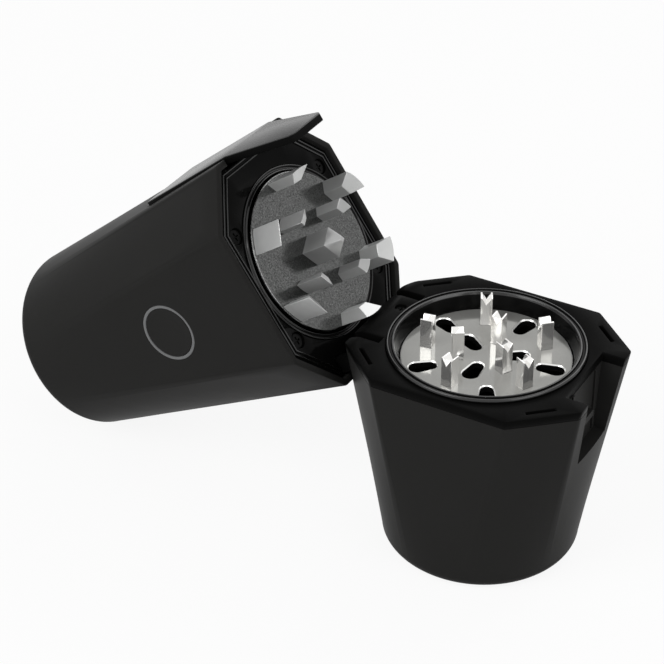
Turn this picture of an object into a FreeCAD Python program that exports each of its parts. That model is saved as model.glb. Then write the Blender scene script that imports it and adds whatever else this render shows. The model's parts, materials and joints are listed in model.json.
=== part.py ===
import FreeCAD, Part
import math
import os
import re
import Sketcher

# Hinged electric herb grinder, in millimetres.
# The cup stands on the origin, +X points from the hinge to the latch and +Z is up.
# Housing pieces are drawn closed, in a frame whose z starts at the housing's own rim.
# They are then swung open.

SIZES = {
    # Grinding plate and cutter disc, which set the waist around them
    "plate_radius": 23.1,
    "plate_thick": 2.0,
    "plate_drop": 3.6,  # plate's top below the cup's rim
    "cutter_radius": 22.9,
    "cutter_thick": 2.2,
    "cutter_travel": 12.0,  # how far the cutter goes back into the housing
    # Collar round the plate
    "collar_width": 3.9,
    "collar_flange": 1.3,
    "collar_rise": 0.9,
    "collar_neck": 2.0,  # flange overhang past the collar's body
    "collar_ledge": 1.6,
    "ridge_width": 0.5,
    "seal_wire": 0.42,
    "fit_gap": 0.05,
    # Waist outline of both halves
    "side_land": 2.25,
    "end_land": 8.0,
    "corner_cut_x": 15.0,
    "corner_cut_y": 13.25,
    "corner_round": 1.6,
    "crease_low": 24.3,  # degrees round the end circle where hinge and latch faces end
    "crease_high": 69.3,
    "crease_spread": 2.5,
    "rim_gap": 0.5,
    # Shells
    "wall": 2.0,
    "edge_round": 3.5,
    "cup_height": 62.5,
    "cup_base_radius": 27.75,
    "floor_thick": 2.4,
    "housing_length": 97.0,
    "housing_end_radius": 27.2,
    # Foot pad
    "foot_radius": 24.0,
    "foot_thick": 1.2,
    "foot_show": 0.5,
    # Rim cap of the cup
    "cap_thick": 2.6,
    "lip_depth": 4.0,
    "lip_thick": 1.4,
    "slot_length": 8.0,
    "slot_width": 1.0,
    "slot_depth": 1.6,
    "slot_inset": 2.8,  # from the slanting edge of the rim
    # Pins and holes of the plate
    "outer_pins": 5,
    "inner_pins": 3,
    "outer_pin_ring": 16.6,
    "inner_pin_ring": 7.8,
    "outer_pin_start": 45.0,
    "inner_pin_start": 92.0,
    "pin_width": 3.3,
    "pin_height": 8.6,
    "pin_shank": 1.2,
    "notch_width": 2.4,
    "notch_depth": 2.2,
    "outer_hole_near": 15.7,
    "outer_hole_far": 19.4,
    "inner_hole_near": 5.4,
    "inner_hole_far": 9.4,
    "hole_near_round": 1.8,
    "hole_far_round": 2.3,
    "outer_hole_start": 9.0,
    "inner_hole_start": 30.0,
    # Teeth of the cutter
    "outer_teeth": 6,
    "inner_teeth": 4,
    "outer_tooth_ring": 22.3,
    "outer_tooth_deep": 3.3,
    "outer_tooth_wide": 7.4,
    "outer_tooth_narrow": 3.6,
    "outer_tooth_start": 4.0,
    "outer_tooth_tall": 10.0,
    "outer_tooth_drop": 3.2,
    "inner_tooth_ring": 13.3,
    "inner_tooth_deep": 2.6,
    "inner_tooth_wide": 4.7,
    "inner_tooth_narrow": 2.6,
    "inner_tooth_start": 60.5,
    "inner_tooth_tall": 9.4,
    "inner_tooth_drop": 1.6,
    "middle_tooth_side": 6.2,
    "middle_tooth_tall": 8.3,
    "middle_tooth_peak": 3.2,
    "middle_tooth_turn": 60.0,
    # Hinge
    "hinge_clear": 3.3,  # from the collar's flange to the hinge pin's centre
    "hinge_drop": 7.2,
    "hinge_pin_radius": 1.5,
    "knuckle_radius": 3.0,
    "knuckle_half": 10.5,  # half of the cup's block between the lid's two arms
    "arm_wide": 2.4,
    "arm_side_gap": 0.15,
    "notch_room": 1.6,
    "cheek": 3.0,
    "hinge_wall": 1.4,
    "hinge_floor": 2.0,
    "hinge_floor_drop": 14.0,
    "arm_inner": 2.8,
    "arm_outer": 2.2,
    "arm_foot_thick": 2.2,
    "running_gap": 0.05,
    "hinge_screw_in": 1.6,  # from the hinge pin's centre towards the collar
    "hinge_screw_side": 4.9,
    "hinge_screw_radius": 0.8,
    "hinge_screw_head": 1.6,
    "hinge_screw_head_tall": 1.0,
    "hinge_screw_sink": 0.7,
    "hinge_screw_long": 5.0,
    # Latch
    "recess_depth": 6.5,
    "recess_half_top": 12.0,
    "recess_half_low": 8.8,
    "recess_tall": 22.4,
    "recess_wall": 1.6,
    "ledge_deep": 1.7,
    "ledge_half": 4.0,
    "ledge_drop": 13.0,
    "ledge_tall": 2.0,
    "rib_deep": 0.5,
    "rib_wide": 1.0,
    "rib_at": 7.0,
    "lever_thick": 2.3,
    "lever_proud": 0.6,
    "lever_top": 34.0,
    "lever_flap": 21.3,
    "lever_half": 11.4,
    "lever_tip_half": 7.6,
    "lever_corner": 1.2,
    "lever_room": 0.5,
    "lever_swing_room": 2.6,
    "lever_pivot_up": 8.0,
    "lever_pivot_in": 2.4,
    "lug_radius": 2.1,
    "lug_near": 4.0,
    "lug_far": 8.0,
    "latch_pin_radius": 1.0,
    "latch_wall": 1.7,
    "hook_reach": 1.0,
    "hook_tall": 1.6,
    "hook_half": 3.0,
    "hook_play": 0.2,
    # Face of the housing
    "face_sink": 1.2,
    "face_thick": 2.2,
    "face_room": 0.2,
    "guard_width": 1.5,
    "guard_rise": 0.3,
    "guard_thick": 1.5,
    "well_gap": 0.55,
    "well_wall": 1.5,
    "well_clear": 1.3,
    "face_screw_x": 16.4,
    "face_screw_y": 21.8,
    "face_screw_radius": 1.25,
    "face_screw_head": 2.2,
    "face_screw_head_tall": 1.0,
    "face_screw_sink": 0.6,
    "face_screw_long": 10.0,
    "boss_radius": 3.0,
    "boss_tall": 14.0,
    "arm_screw_radius": 0.8,
    "arm_screw_head": 1.5,
    "arm_screw_side": 7.5,
    # Drive train
    "hex_radius": 3.2,
    "hub_radius": 6.0,
    "hub_seat_radius": 8.0,
    "hub_seat_thick": 1.5,
    "spindle_grip": 5.5,
    "spring_wire": 0.8,
    "spring_gap": 0.5,
    "nose_bore": 8.8,
    "nose_wall": 2.2,
    "bush_long": 4.6,
    "carrier_radius": 12.6,
    "carrier_thick": 2.5,
    "gear_module": 0.6,
    "sun_teeth": 12,
    "planet_teeth": 18,
    "planet_count": 3,
    "gear_tall": 6.0,
    "gear_gap": 0.2,
    "gear_slack": 0.2,  # share of each tooth's thickness left as play
    "gear_addendum": 0.9,
    "gear_dedendum": 1.15,
    "planet_pin_radius": 1.2,
    "case_wall": 1.6,
    "motor_plate_thick": 1.2,
    "motor_plate_hole": 4.5,
    "motor_radius": 12.2,
    "motor_long": 26.6,
    "motor_shaft_radius": 1.0,
    "motor_shaft_held": 4.0,
    # Battery
    "cell_radius": 9.1,
    "cell_long": 34.6,
    "cradle_half_x": 14.0,
    "cradle_half_y": 10.6,
    "cradle_base": 4.0,
    "cradle_side": 6.0,
    # Button, switch and board
    "button_up": 35.9,
    "button_radius": 7.55,
    "button_gap": 0.1,
    "button_thick": 3.0,
    "button_flange": 0.75,
    "button_flange_thick": 0.8,
    "button_travel": 0.8,
    "ring_width": 0.85,
    "ring_back_gap": 0.2,
    "switch_side": 6.0,
    "switch_tall": 3.0,
    "plunger_radius": 1.6,
    "plunger_long": 1.5,
    "board_half": 10.5,
    "board_below": 13.0,
    "board_above": 13.0,
    "board_thick": 1.6,
    "board_screw_in": 2.0,
    "board_screw_radius": 0.9,
    "board_screw_head": 1.8,
    "board_screw_head_tall": 1.1,
    "post_radius": 2.2,
    # Charging socket
    "socket_up": 60.0,
    "socket_half_y": 4.5,
    "socket_half_z": 1.65,
    "socket_deep": 7.4,
    "socket_wall": 0.35,
    "tongue_half_y": 3.3,
    "tongue_half_z": 0.35,
}

DERIVED = {
    "flange_radius": "plate_radius + collar_width",
    "collar_radius": "plate_radius + collar_width - collar_neck",
    "waist_half_x": "flange_radius + end_land",
    "waist_half_y": "flange_radius + side_land",
    "hinge_back": "flange_radius + hinge_clear",
    "hinge_up": "cup_height - hinge_drop",
    "lid_rise": "hinge_drop + rim_gap",
    "plate_top": "cup_height - plate_drop",
    "cap_low": "cup_height - cap_thick",
    "arm_near": "knuckle_half + arm_side_gap",
    "arm_far": "arm_near + arm_wide",
    "notch_half": "arm_far + arm_side_gap",
    "block_half": "notch_half + cheek",
    "notch_inner": "hinge_back - knuckle_radius - notch_room",
    "block_inner": "notch_inner - hinge_wall",
    "recess_back": "waist_half_x - recess_depth",
    # The housing's end comes down on the table, which sets how far the lid opens
    "fall_run": "hinge_back - housing_end_radius + edge_round",
    "fall_reach": "housing_length - edge_round + lid_rise",
    "open_angle": "atan2(fall_run; fall_reach) / 1deg"
                  " + acos((edge_round - hinge_up) / sqrt(fall_run^2 + fall_reach^2)) / 1deg",
    "face_slope_x": "(waist_half_x - housing_end_radius) / (housing_length - edge_round)",
    "face_slope_y": "(waist_half_y - housing_end_radius) / (housing_length - edge_round)",
    "cup_slope_x": "(waist_half_x - cup_base_radius) / (cup_height - foot_show - edge_round)",
    # Heights in the housing, from its rim upwards when it is closed
    "face_back": "face_sink + face_thick",
    "well_radius": "cutter_radius + well_gap",
    "well_floor": "cutter_thick + cutter_travel + well_clear",
    "well_back": "well_floor + well_wall",
    "hub_front": "cutter_thick + cutter_travel + 0.5 * well_clear",
    "spindle_end": "hub_front + spindle_grip",
    "hub_seat": "well_back + hub_radius - 0.5",
    "bush_low": "hub_seat + hub_seat_thick + gear_gap",
    "carrier_low": "max(bush_low + bush_long + gear_gap; spindle_end + cutter_travel + gear_gap)",
    "gear_low": "carrier_low + carrier_thick + 2 * gear_gap",
    "gear_high": "gear_low + gear_tall",
    "motor_plate_low": "gear_high + gear_gap",
    "motor_low": "motor_plate_low + motor_plate_thick",
    "motor_high": "motor_low + motor_long",
    "cell_up": "motor_high + cradle_base + cell_radius",
    "sun_pitch": "gear_module * sun_teeth / 2",
    "planet_pitch": "gear_module * planet_teeth / 2",
    "ring_teeth": "sun_teeth + 2 * planet_teeth",
    "ring_pitch": "gear_module * ring_teeth / 2",
    "planet_orbit": "sun_pitch + planet_pitch",
    "ring_outer": "ring_pitch + gear_dedendum * gear_module + 0.9",
    "case_radius": "ring_outer + case_wall",
    # Button stack, from the housing's outer face inwards
    "button_face": "waist_half_y - face_slope_y * button_up",
    "button_back": "button_face - button_thick - button_flange_thick",
    "ring_radius": "button_radius + button_gap + ring_width",
    "plunger_back": "button_back - plunger_long",
    "switch_front": "plunger_back + 0.3",
    "board_front": "switch_front - switch_tall",
    "board_back": "board_front - board_thick",
    # Latch
    "lever_face": "waist_half_x + lever_proud",
    "pivot_x": "lever_face - face_slope_x * lever_pivot_up - lever_thick - lever_pivot_in",
    "pocket_back": "lever_face - face_slope_x * lever_top - lever_thick - lever_swing_room",
    "hook_top": "-(ledge_drop + ledge_tall + rim_gap + hook_play)",
    "socket_face": "waist_half_x - face_slope_x * socket_up",
}

doc = FreeCAD.newDocument("hinged_grinder")
sheet = doc.addObject("Spreadsheet::Sheet", "sizes")
for row, (alias, size) in enumerate(SIZES.items(), start=1):
    sheet.set(f"A{row}", alias.replace("_", " "))
    sheet.set(f"B{row}", str(size))
    sheet.setAlias(f"B{row}", alias)
doc.recompute()
derived = doc.addObject("App::VarSet", "derived")


def named(text):
    """The text as an expression in which every size is read from the sheet or from the derived values."""
    def home(word):
        if word[0] in SIZES:
            return "sizes." + word[0]
        return "derived." + word[0] if word[0] in DERIVED else word[0]
    return re.sub(r"[a-z][a-z0-9_]*", home, str(text))


for name, text in DERIVED.items():
    derived.addProperty("App::PropertyFloat", name, "derived")
    derived.setExpression(name, named(text))
doc.recompute()


def number(name):
    """The present value of a size or a derived value."""
    return float(getattr(sheet if name in SIZES else derived, name))


def bind(piece, bindings):
    for target, text in bindings.items():
        piece.setExpression(target, named(text))
    return piece


def put(piece, x="0", y="0", z="0"):
    return bind(piece, {".Placement.Base.x": x, ".Placement.Base.y": y, ".Placement.Base.z": z})


def turn(piece, axis, angle):
    """Turn a piece about one of its own axes through the origin of its frame."""
    for letter in "xyz":
        piece.setExpression(f".Placement.Rotation.Axis.{letter}", "1" if letter == axis else "0")
    return bind(piece, {".Placement.Rotation.Angle": angle})


# Plain solids and how they are combined

def block(name, x, y, z):
    """A box between the two limits given for each axis."""
    piece = doc.addObject("Part::Box", name)
    for side, (start, end) in {"Length": x, "Width": y, "Height": z}.items():
        bind(piece, {side: f"({end}) - ({start})"})
    return put(piece, x[0], y[0], z[0])


def rod(name, axis, radius, start, end, across=("0", "0")):
    """A round bar along an axis, between two places on it; across gives its place on the other two axes."""
    piece = doc.addObject("Part::Cylinder", name)
    bind(piece, {"Radius": radius, "Height": f"({end}) - ({start})"})
    if axis == "x":
        turn(piece, "y", "90")
        return put(piece, start, *across)
    if axis == "y":
        turn(piece, "x", "-90")
        return put(piece, across[0], start, across[1])
    return put(piece, *across, start)


def join(name, *pieces):
    piece = doc.addObject("Part::MultiFuse", name)
    piece.Shapes = list(pieces)
    return piece


def group(name, pieces):
    piece = doc.addObject("Part::Compound", name)
    piece.Links = list(pieces)
    return piece


def cut(name, base, *tools):
    piece = doc.addObject("Part::Cut", name)
    piece.Base = base
    piece.Tool = tools[0] if len(tools) == 1 else group(name + "_tools", tools)
    return piece


def overlap(name, *pieces):
    piece = doc.addObject("Part::MultiCommon", name)
    piece.Shapes = list(pieces)
    return piece


def across(half):
    """The span from minus a distance to plus that distance."""
    return (f"-({half})", half)


def both_sides(near, far):
    """The two mirrored spans along Y between two distances from the middle."""
    return [(near, far), (f"-({far})", f"-({near})")]


# Sketched solids

def sketch_on(body, name, role):
    plane = [feature for feature in body.Origin.OriginFeatures if feature.Role == role][0]
    sketch = body.newObject("Sketcher::SketchObject", name)
    sketch.AttachmentSupport = [(plane, "")]
    sketch.MapMode = "FlatFace"
    return sketch


def draw_outline(sketch, corners):
    """A closed outline of straight lines whose corners are all held at their sizes."""
    count = len(corners)
    start = [FreeCAD.Vector(math.cos(2 * math.pi * i / count), math.sin(2 * math.pi * i / count), 0)
             for i in range(count)]
    for i in range(count):
        sketch.addGeometry(Part.LineSegment(start[i], start[(i + 1) % count]), False)
    for i in range(count):
        sketch.addConstraint(Sketcher.Constraint("Coincident", i, 2, (i + 1) % count, 1))
    for i, corner in enumerate(corners):
        for kind, text, first in zip(("DistanceX", "DistanceY"), corner, start[i]):
            index = sketch.addConstraint(Sketcher.Constraint(kind, -1, 1, i, 1, first))
            sketch.setExpression(f"Constraints[{index}]", named(text))


def turned(name, corners):
    """A body turned about Z from an outline of (radius, height) corners."""
    body = doc.addObject("PartDesign::Body", name)
    sketch = sketch_on(body, name + "_profile", "XZ_Plane")
    draw_outline(sketch, corners)
    feature = body.newObject("PartDesign::Revolution", name + "_turn")
    feature.Profile = sketch
    feature.ReferenceAxis = (sketch, ["V_Axis"])
    feature.Angle = 360
    return body


def padded(name, role, corners, length, symmetric=False):
    """A body padded square to a plane from an outline of corners."""
    body = doc.addObject("PartDesign::Body", name)
    sketch = sketch_on(body, name + "_outline", role)
    draw_outline(sketch, corners)
    feature = body.newObject("PartDesign::Pad", name + "_pad")
    feature.Profile = sketch
    feature.SideType = "Symmetric" if symmetric else "One side"
    bind(feature, {"Length": length})
    return body


# Tapered shells, octagonal at the waist and round at the end

def waist_corners(inset):
    """The waist's eight corners, anticlockwise from +X, with every side moved in by inset."""
    half_x, half_y = number("waist_half_x"), number("waist_half_y")
    cut_x, cut_y = number("corner_cut_x"), number("corner_cut_y")
    reach = cut_y * half_x + cut_x * (half_y - cut_y) - inset * math.hypot(cut_x, cut_y)
    side_y = (reach - cut_y * (half_x - inset)) / cut_x
    side_x = (reach - cut_x * (half_y - inset)) / cut_y
    quarter = [(half_x - inset, side_y), (side_x, half_y - inset)]
    upper = quarter + [(-x, y) for x, y in reversed(quarter)]
    return upper + [(-x, -y) for x, y in upper]


def crease_angles():
    low, high = math.radians(number("crease_low")), math.radians(number("crease_high"))
    half = [low, high, math.pi - high, math.pi - low]
    return half + [angle + math.pi for angle in half]


def waist_edges(inset, height):
    """Sixteen edges round the waist: a small round at each corner and a straight side after it."""
    corners = [FreeCAD.Vector(x, y, height) for x, y in waist_corners(inset)]
    bend = max(number("corner_round") - 0.3 * inset, 0.4)
    arcs = []
    for i, corner in enumerate(corners):
        back = (corners[i - 1] - corner).normalize()
        ahead = (corners[(i + 1) % 8] - corner).normalize()
        half_turn = (math.pi - back.getAngle(ahead)) / 2
        reach = bend * math.tan(half_turn)
        middle = corner + (back + ahead).normalize() * bend * (1 / math.cos(half_turn) - 1)
        arcs.append((corner + back * reach, middle, corner + ahead * reach))
    edges = []
    for i, arc in enumerate(arcs):
        edges.append(Part.Arc(*arc).toShape())
        edges.append(Part.LineSegment(arc[2], arcs[(i + 1) % 8][0]).toShape())
    return edges


def round_edges(radius, height):
    """Sixteen arcs of a circle, one for each edge of the waist."""
    spread = math.radians(number("crease_spread"))
    creases = crease_angles()

    def at(angle):
        return FreeCAD.Vector(radius * math.cos(angle), radius * math.sin(angle), height)

    edges = []
    for i, crease in enumerate(creases):
        following = creases[(i + 1) % 8] + (2 * math.pi if i == 7 else 0)
        edges.append(Part.Arc(at(crease - spread), at(crease), at(crease + spread)).toShape())
        middle = (crease + following) / 2
        edges.append(Part.Arc(at(crease + spread), at(middle), at(following - spread)).toShape())
    return edges


def rounded_end(radius, level, tip):
    """The turned end that closes a shell: from the full circle at level round to the flat at tip."""
    bend = number("edge_round")
    side = FreeCAD.Vector(radius, 0, level)
    flat = FreeCAD.Vector(radius - bend, 0, tip)
    lean = math.sqrt(0.5) * bend
    middle = FreeCAD.Vector(radius - bend + lean, 0, level + math.copysign(lean, tip - level))
    axis_low, axis_high = FreeCAD.Vector(0, 0, level), FreeCAD.Vector(0, 0, tip)
    edges = [Part.LineSegment(axis_low, side).toShape(), Part.Arc(side, middle, flat).toShape(),
             Part.LineSegment(flat, axis_high).toShape(), Part.LineSegment(axis_high, axis_low).toShape()]
    return Part.Face(Part.Wire(edges)).revolve(FreeCAD.Vector(), FreeCAD.Vector(0, 0, 1), 360)


def shell_form(name, inset, rim, radius, level, tip, rounded):
    """A solid from the waist outline at rim to the round end at tip, moved in by inset all round."""
    waist, end = waist_edges(inset, rim), round_edges(radius - inset, level)
    faces = [Part.makeRuledSurface(*pair) for pair in zip(waist, end)]
    skin = Part.Shell(faces + [Part.Face(Part.Wire(waist)), Part.Face(Part.Wire(end))])
    skin.sewShape()
    taper = Part.Solid(skin)
    if taper.Volume < 0:
        taper.reverse()
    if rounded:
        closing = rounded_end(radius - inset, level, tip)
    else:
        closing = Part.makeCylinder(radius - inset, abs(tip - level), FreeCAD.Vector(0, 0, min(tip, level)))
    piece = doc.addObject("Part::Feature", name)
    piece.Shape = taper.fuse(closing).removeSplitter()
    return piece


def cup_form(name, inset, rounded=False):
    low = number("foot_show")
    tip = low if rounded else low + number("floor_thick")
    level = low + number("edge_round")
    return shell_form(name, inset, number("cup_height"), number("cup_base_radius"), level, tip, rounded)


def housing_form(name, inset, rounded=False):
    high = number("housing_length")
    tip = high if rounded else high - number("floor_thick")
    return shell_form(name, inset, 0, number("housing_end_radius"), high - number("edge_round"), tip, rounded)


PIECES = []


def finish(piece, label):
    piece.Label = label
    PIECES.append(piece)
    return piece


def finish_in_lid(piece, label):
    """Swing a finished housing piece from its closed place to the open pose."""
    if piece.TypeId in ("Part::Box", "Part::Cylinder", "Part::Prism"):
        piece = group(label + "_set", [piece])
    bind(piece, {
        ".Placement.Base.x": "-hinge_back + hinge_back * cos(open_angle) - lid_rise * sin(open_angle)",
        ".Placement.Base.z": "hinge_up + hinge_back * sin(open_angle) + lid_rise * cos(open_angle)"})
    turn(piece, "y", "-open_angle")
    return finish(piece, label)


FAR = "3 * waist_half_x"
EVERYWHERE = ("-" + FAR, FAR)
OVER_RIM = "cup_height + wall"

# Cup half

cup_outer = cup_form("cup_outer", 0, rounded=True)
cup_inner = cup_form("cup_inner", number("wall"))
lip_outer = cup_form("lip_outer", number("wall") + number("fit_gap"))
lip_inner = cup_form("lip_inner", number("wall") + number("fit_gap") + number("lip_thick"))


def recess_pocket(name):
    """The latch recess, open at the rim and narrower towards its foot."""
    top, low = OVER_RIM, "cup_height - recess_tall"
    corners = [("-recess_half_top", top), ("recess_half_top", top),
               ("recess_half_low", low), ("-recess_half_low", low)]
    pocket = padded(name, "YZ_Plane", corners, "waist_half_x")
    return put(pocket, x="recess_back")


def hinge_block(name):
    return block(name, ("-" + FAR, "-block_inner"), ("-block_half", "block_half"),
                 ("cup_height - hinge_floor_drop - hinge_floor", OVER_RIM))


def make_cup_shell():
    below_cap = block("below_cap", EVERYWHERE, EVERYWHERE, ("-wall", "cap_low"))
    outer = overlap("cup_outer_low", cup_outer, below_cap)
    skin = cut("cup_skin", outer, cup_inner)
    backing_box = block("recess_backing_box", ("recess_back - recess_wall", FAR),
                        ("-recess_half_top - recess_wall", "recess_half_top + recess_wall"),
                        ("cup_height - recess_tall - recess_wall", "cap_low"))
    backing = overlap("recess_backing", cup_outer, backing_box)
    foot_seat = rod("foot_seat", "z", "foot_radius + fit_gap", "-wall", "foot_thick")
    hollowed = cut("cup_hollowed", join("cup_backed", skin, backing), recess_pocket("shell_recess"),
                   hinge_block("shell_hinge_room"), foot_seat)
    ledge = block("catch_ledge", ("recess_back - fit_gap", "recess_back + ledge_deep"), across("ledge_half"),
                  ("cup_height - ledge_drop - ledge_tall", "cup_height - ledge_drop"))
    ribs = [block("recess_rib", ("recess_back - fit_gap", "recess_back + rib_deep"),
                  (f"{side} * rib_at - rib_wide / 2", f"{side} * rib_at + rib_wide / 2"),
                  ("cup_height - recess_tall + rib_wide", "cap_low")) for side in (-1, 1)]
    return finish(join("cup_shell_solid", hollowed, ledge, *ribs), "cup_shell")


def rim_slots():
    """Thin slots beside the four slanting edges of the rim."""
    slots = []
    for side_x in (1, -1):
        for side_y in (1, -1):
            slot = doc.addObject("Part::Box", "rim_slot")
            bind(slot, {"Length": "slot_width", "Width": "slot_length", "Height": "slot_depth + wall"})
            lean = f"{side_x * side_y} * atan2(corner_cut_x; corner_cut_y) "
            turn(slot, "z", lean)
            edge = "hypot(corner_cut_x; corner_cut_y)"
            middle_x = f"(waist_half_x - corner_cut_x / 2 - slot_inset * corner_cut_y / {edge})"
            middle_y = f"(waist_half_y - corner_cut_y / 2 - slot_inset * corner_cut_x / {edge})"
            back_x = f"slot_width / 2 * cos({lean}) - slot_length / 2 * sin({lean})"
            back_y = f"slot_width / 2 * sin({lean}) + slot_length / 2 * cos({lean})"
            put(slot, f"{side_x} * {middle_x} - ({back_x})", f"{side_y} * {middle_y} - ({back_y})",
                "cup_height - slot_depth")
            slots.append(slot)
    return slots


HINGE_SCREW_PLACE = ("-hinge_back + hinge_screw_in", "hinge_screw_side")
HINGE_SCREW_HEAD = ("cup_height - hinge_screw_sink - hinge_screw_head_tall", "cup_height - hinge_screw_sink")
HINGE_SCREW_TIP = "cup_height - hinge_screw_long"


def make_rim_cap():
    slab = overlap("cap_slab", cup_outer,
                   block("cap_slab_box", EVERYWHERE, EVERYWHERE, ("cap_low", OVER_RIM)))
    hinge_part = overlap("cap_hinge_part", cup_outer, hinge_block("cap_hinge_box"))
    lip_band = overlap("lip_band", lip_outer,
                       block("lip_band_box", EVERYWHERE, EVERYWHERE, ("cap_low - lip_depth", "cap_low")))
    recess_room = block("lip_recess_room", ("recess_back - recess_wall - lip_thick", FAR),
                        across("recess_half_top + 2 * recess_wall"), ("wall", "cup_height"))
    lip = cut("cap_lip", lip_band, lip_inner, recess_room)
    notch_tall = ("cup_height - hinge_floor_drop", OVER_RIM)
    tools = [block("hinge_notch", ("-" + FAR, "-notch_inner"), side, notch_tall)
             for side in both_sides("knuckle_half", "notch_half")]
    relief_box = block("relief_box", ("-" + FAR, "-hinge_back"), EVERYWHERE, ("hinge_up", OVER_RIM))
    barrel = rod("relief_barrel", "y", "hinge_drop + fit_gap", *EVERYWHERE, ("-hinge_back", "hinge_up"))
    tools.append(cut("hinge_relief", relief_box, barrel))
    tools.append(rod("hinge_pin_bore", "y", "hinge_pin_radius", *EVERYWHERE, ("-hinge_back", "hinge_up")))
    tools.append(rod("hinge_screw_sunk", "z", "hinge_screw_head + fit_gap", HINGE_SCREW_HEAD[0], OVER_RIM,
                     HINGE_SCREW_PLACE))
    tools.append(rod("hinge_screw_bore", "z", "hinge_screw_radius", HINGE_SCREW_TIP, "cup_height",
                     HINGE_SCREW_PLACE))
    tools.append(rod("collar_seat", "z", "flange_radius + fit_gap", "cup_height - collar_flange", OVER_RIM))
    mouth_low = "cup_height - hinge_floor_drop - cap_thick"
    tools.append(rod("collar_mouth", "z", "collar_radius + fit_gap", mouth_low, OVER_RIM))
    solid = join("cap_solid", slab, hinge_part, lip)
    return finish(cut("rim_cap_solid", solid, *tools, recess_pocket("cap_recess"), *rim_slots()), "rim_cap")


def make_collar():
    inner = "plate_radius + 4 * fit_gap"
    rise = "cup_height + collar_rise"
    groove = "cup_height - seal_wire + 0.1"
    seal_at = "flange_radius - 1.4 * ridge_width - seal_wire"
    far_side = f"{seal_at} + seal_wire + fit_gap"
    near_side = f"{seal_at} - seal_wire - fit_gap"
    under = "plate_top - plate_thick"
    low = "plate_top - plate_thick - collar_ledge"
    ledge, flange = "plate_radius - collar_ledge", "cup_height - collar_flange"
    collar = turned("collar_body", [
        (ledge, low), ("collar_radius", low), ("collar_radius", flange), ("flange_radius", flange),
        ("flange_radius", "cup_height + collar_rise / 3"), ("flange_radius - 0.5 * ridge_width", rise),
        (far_side, rise), (far_side, groove), (near_side, groove), (near_side, rise),
        (f"{near_side} - ridge_width", rise), (inner, "plate_top + fit_gap"), (inner, under), (ledge, under)])
    finish(collar, "collar")
    seal = doc.addObject("Part::Torus", "collar_seal_solid")
    bind(seal, {"Radius1": seal_at, "Radius2": "seal_wire"})
    put(seal, z=f"{groove} + seal_wire")
    finish(seal, "collar_seal")


def teardrop_pocket(body, name, near, far, start, count):
    """A row of long round-ended holes, each along a radius and fuller at its outer end."""
    near_round, far_round = number("hole_near_round"), number("hole_far_round")
    near_at, far_at = number(near), number(far)
    sketch = sketch_on(body, name + "_outline", "XY_Plane")
    turn_text = ".AttachmentOffset.Rotation."
    bind(sketch, {turn_text + "Axis.x": "0", turn_text + "Axis.y": "0", turn_text + "Axis.z": "1",
                  turn_text + "Angle": start})

    def arc(centre, radius, first, last):
        circle = Part.Circle(FreeCAD.Vector(centre, 0, 0), FreeCAD.Vector(0, 0, 1), radius)
        return Part.ArcOfCircle(circle, math.radians(first), math.radians(last))

    sketch.addGeometry(arc(near_at, near_round, 90, 270), False)
    sketch.addGeometry(arc(far_at, far_round, -90, 90), False)
    for side in (1, -1):
        first = FreeCAD.Vector(near_at, side * near_round, 0)
        last = FreeCAD.Vector(far_at, side * far_round, 0)
        sketch.addGeometry(Part.LineSegment(first, last), False)
    for arc_end, line_end in (((0, 1), (2, 1)), ((1, 2), (2, 2)), ((0, 2), (3, 1)), ((1, 1), (3, 2))):
        sketch.addConstraint(Sketcher.Constraint("Tangent", *arc_end, *line_end))
    for index, place, radius in ((0, near, "hole_near_round"), (1, far, "hole_far_round")):
        sketch.addConstraint(Sketcher.Constraint("PointOnObject", index, 3, -1))
        at = sketch.addConstraint(Sketcher.Constraint("DistanceX", -1, 1, index, 3, number(place)))
        sketch.setExpression(f"Constraints[{at}]", named(place))
        across = sketch.addConstraint(Sketcher.Constraint("Radius", index, number(radius)))
        sketch.setExpression(f"Constraints[{across}]", named(radius))
    hole_row(body, name, sketch, count)


def pin_bores(body, name, ring, start, count):
    sketch = sketch_on(body, name + "_outline", "XY_Plane")
    angle = math.radians(number(start))
    middle = FreeCAD.Vector(number(ring) * math.cos(angle), number(ring) * math.sin(angle), 0)
    circle = Part.Circle(middle, FreeCAD.Vector(0, 0, 1), number("pin_shank"))
    sketch.addGeometry(circle, False)
    for kind, text, value in (("DistanceX", f"{ring} * cos({start})", middle.x),
                              ("DistanceY", f"{ring} * sin({start})", middle.y)):
        index = sketch.addConstraint(Sketcher.Constraint(kind, -1, 1, 0, 3, value))
        sketch.setExpression(f"Constraints[{index}]", named(text))
    index = sketch.addConstraint(Sketcher.Constraint("Radius", 0, number("pin_shank")))
    sketch.setExpression(f"Constraints[{index}]", named("pin_shank"))
    hole_row(body, name, sketch, count)


def hole_row(body, name, sketch, count):
    """Cut the sketch through the plate and repeat the cut round the plate's middle."""
    pocket = body.newObject("PartDesign::Pocket", name)
    pocket.Profile = sketch
    pocket.SideType = "Symmetric"
    bind(pocket, {"Length": "4 * plate_thick"})
    doc.recompute()
    row = body.newObject("PartDesign::PolarPattern", name + "_row")
    row.Originals = [pocket]
    row.Axis = (sketch, ["N_Axis"])
    row.Angle = 360
    bind(row, {"Occurrences": count})
    body.Tip = row
    doc.recompute()


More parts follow.
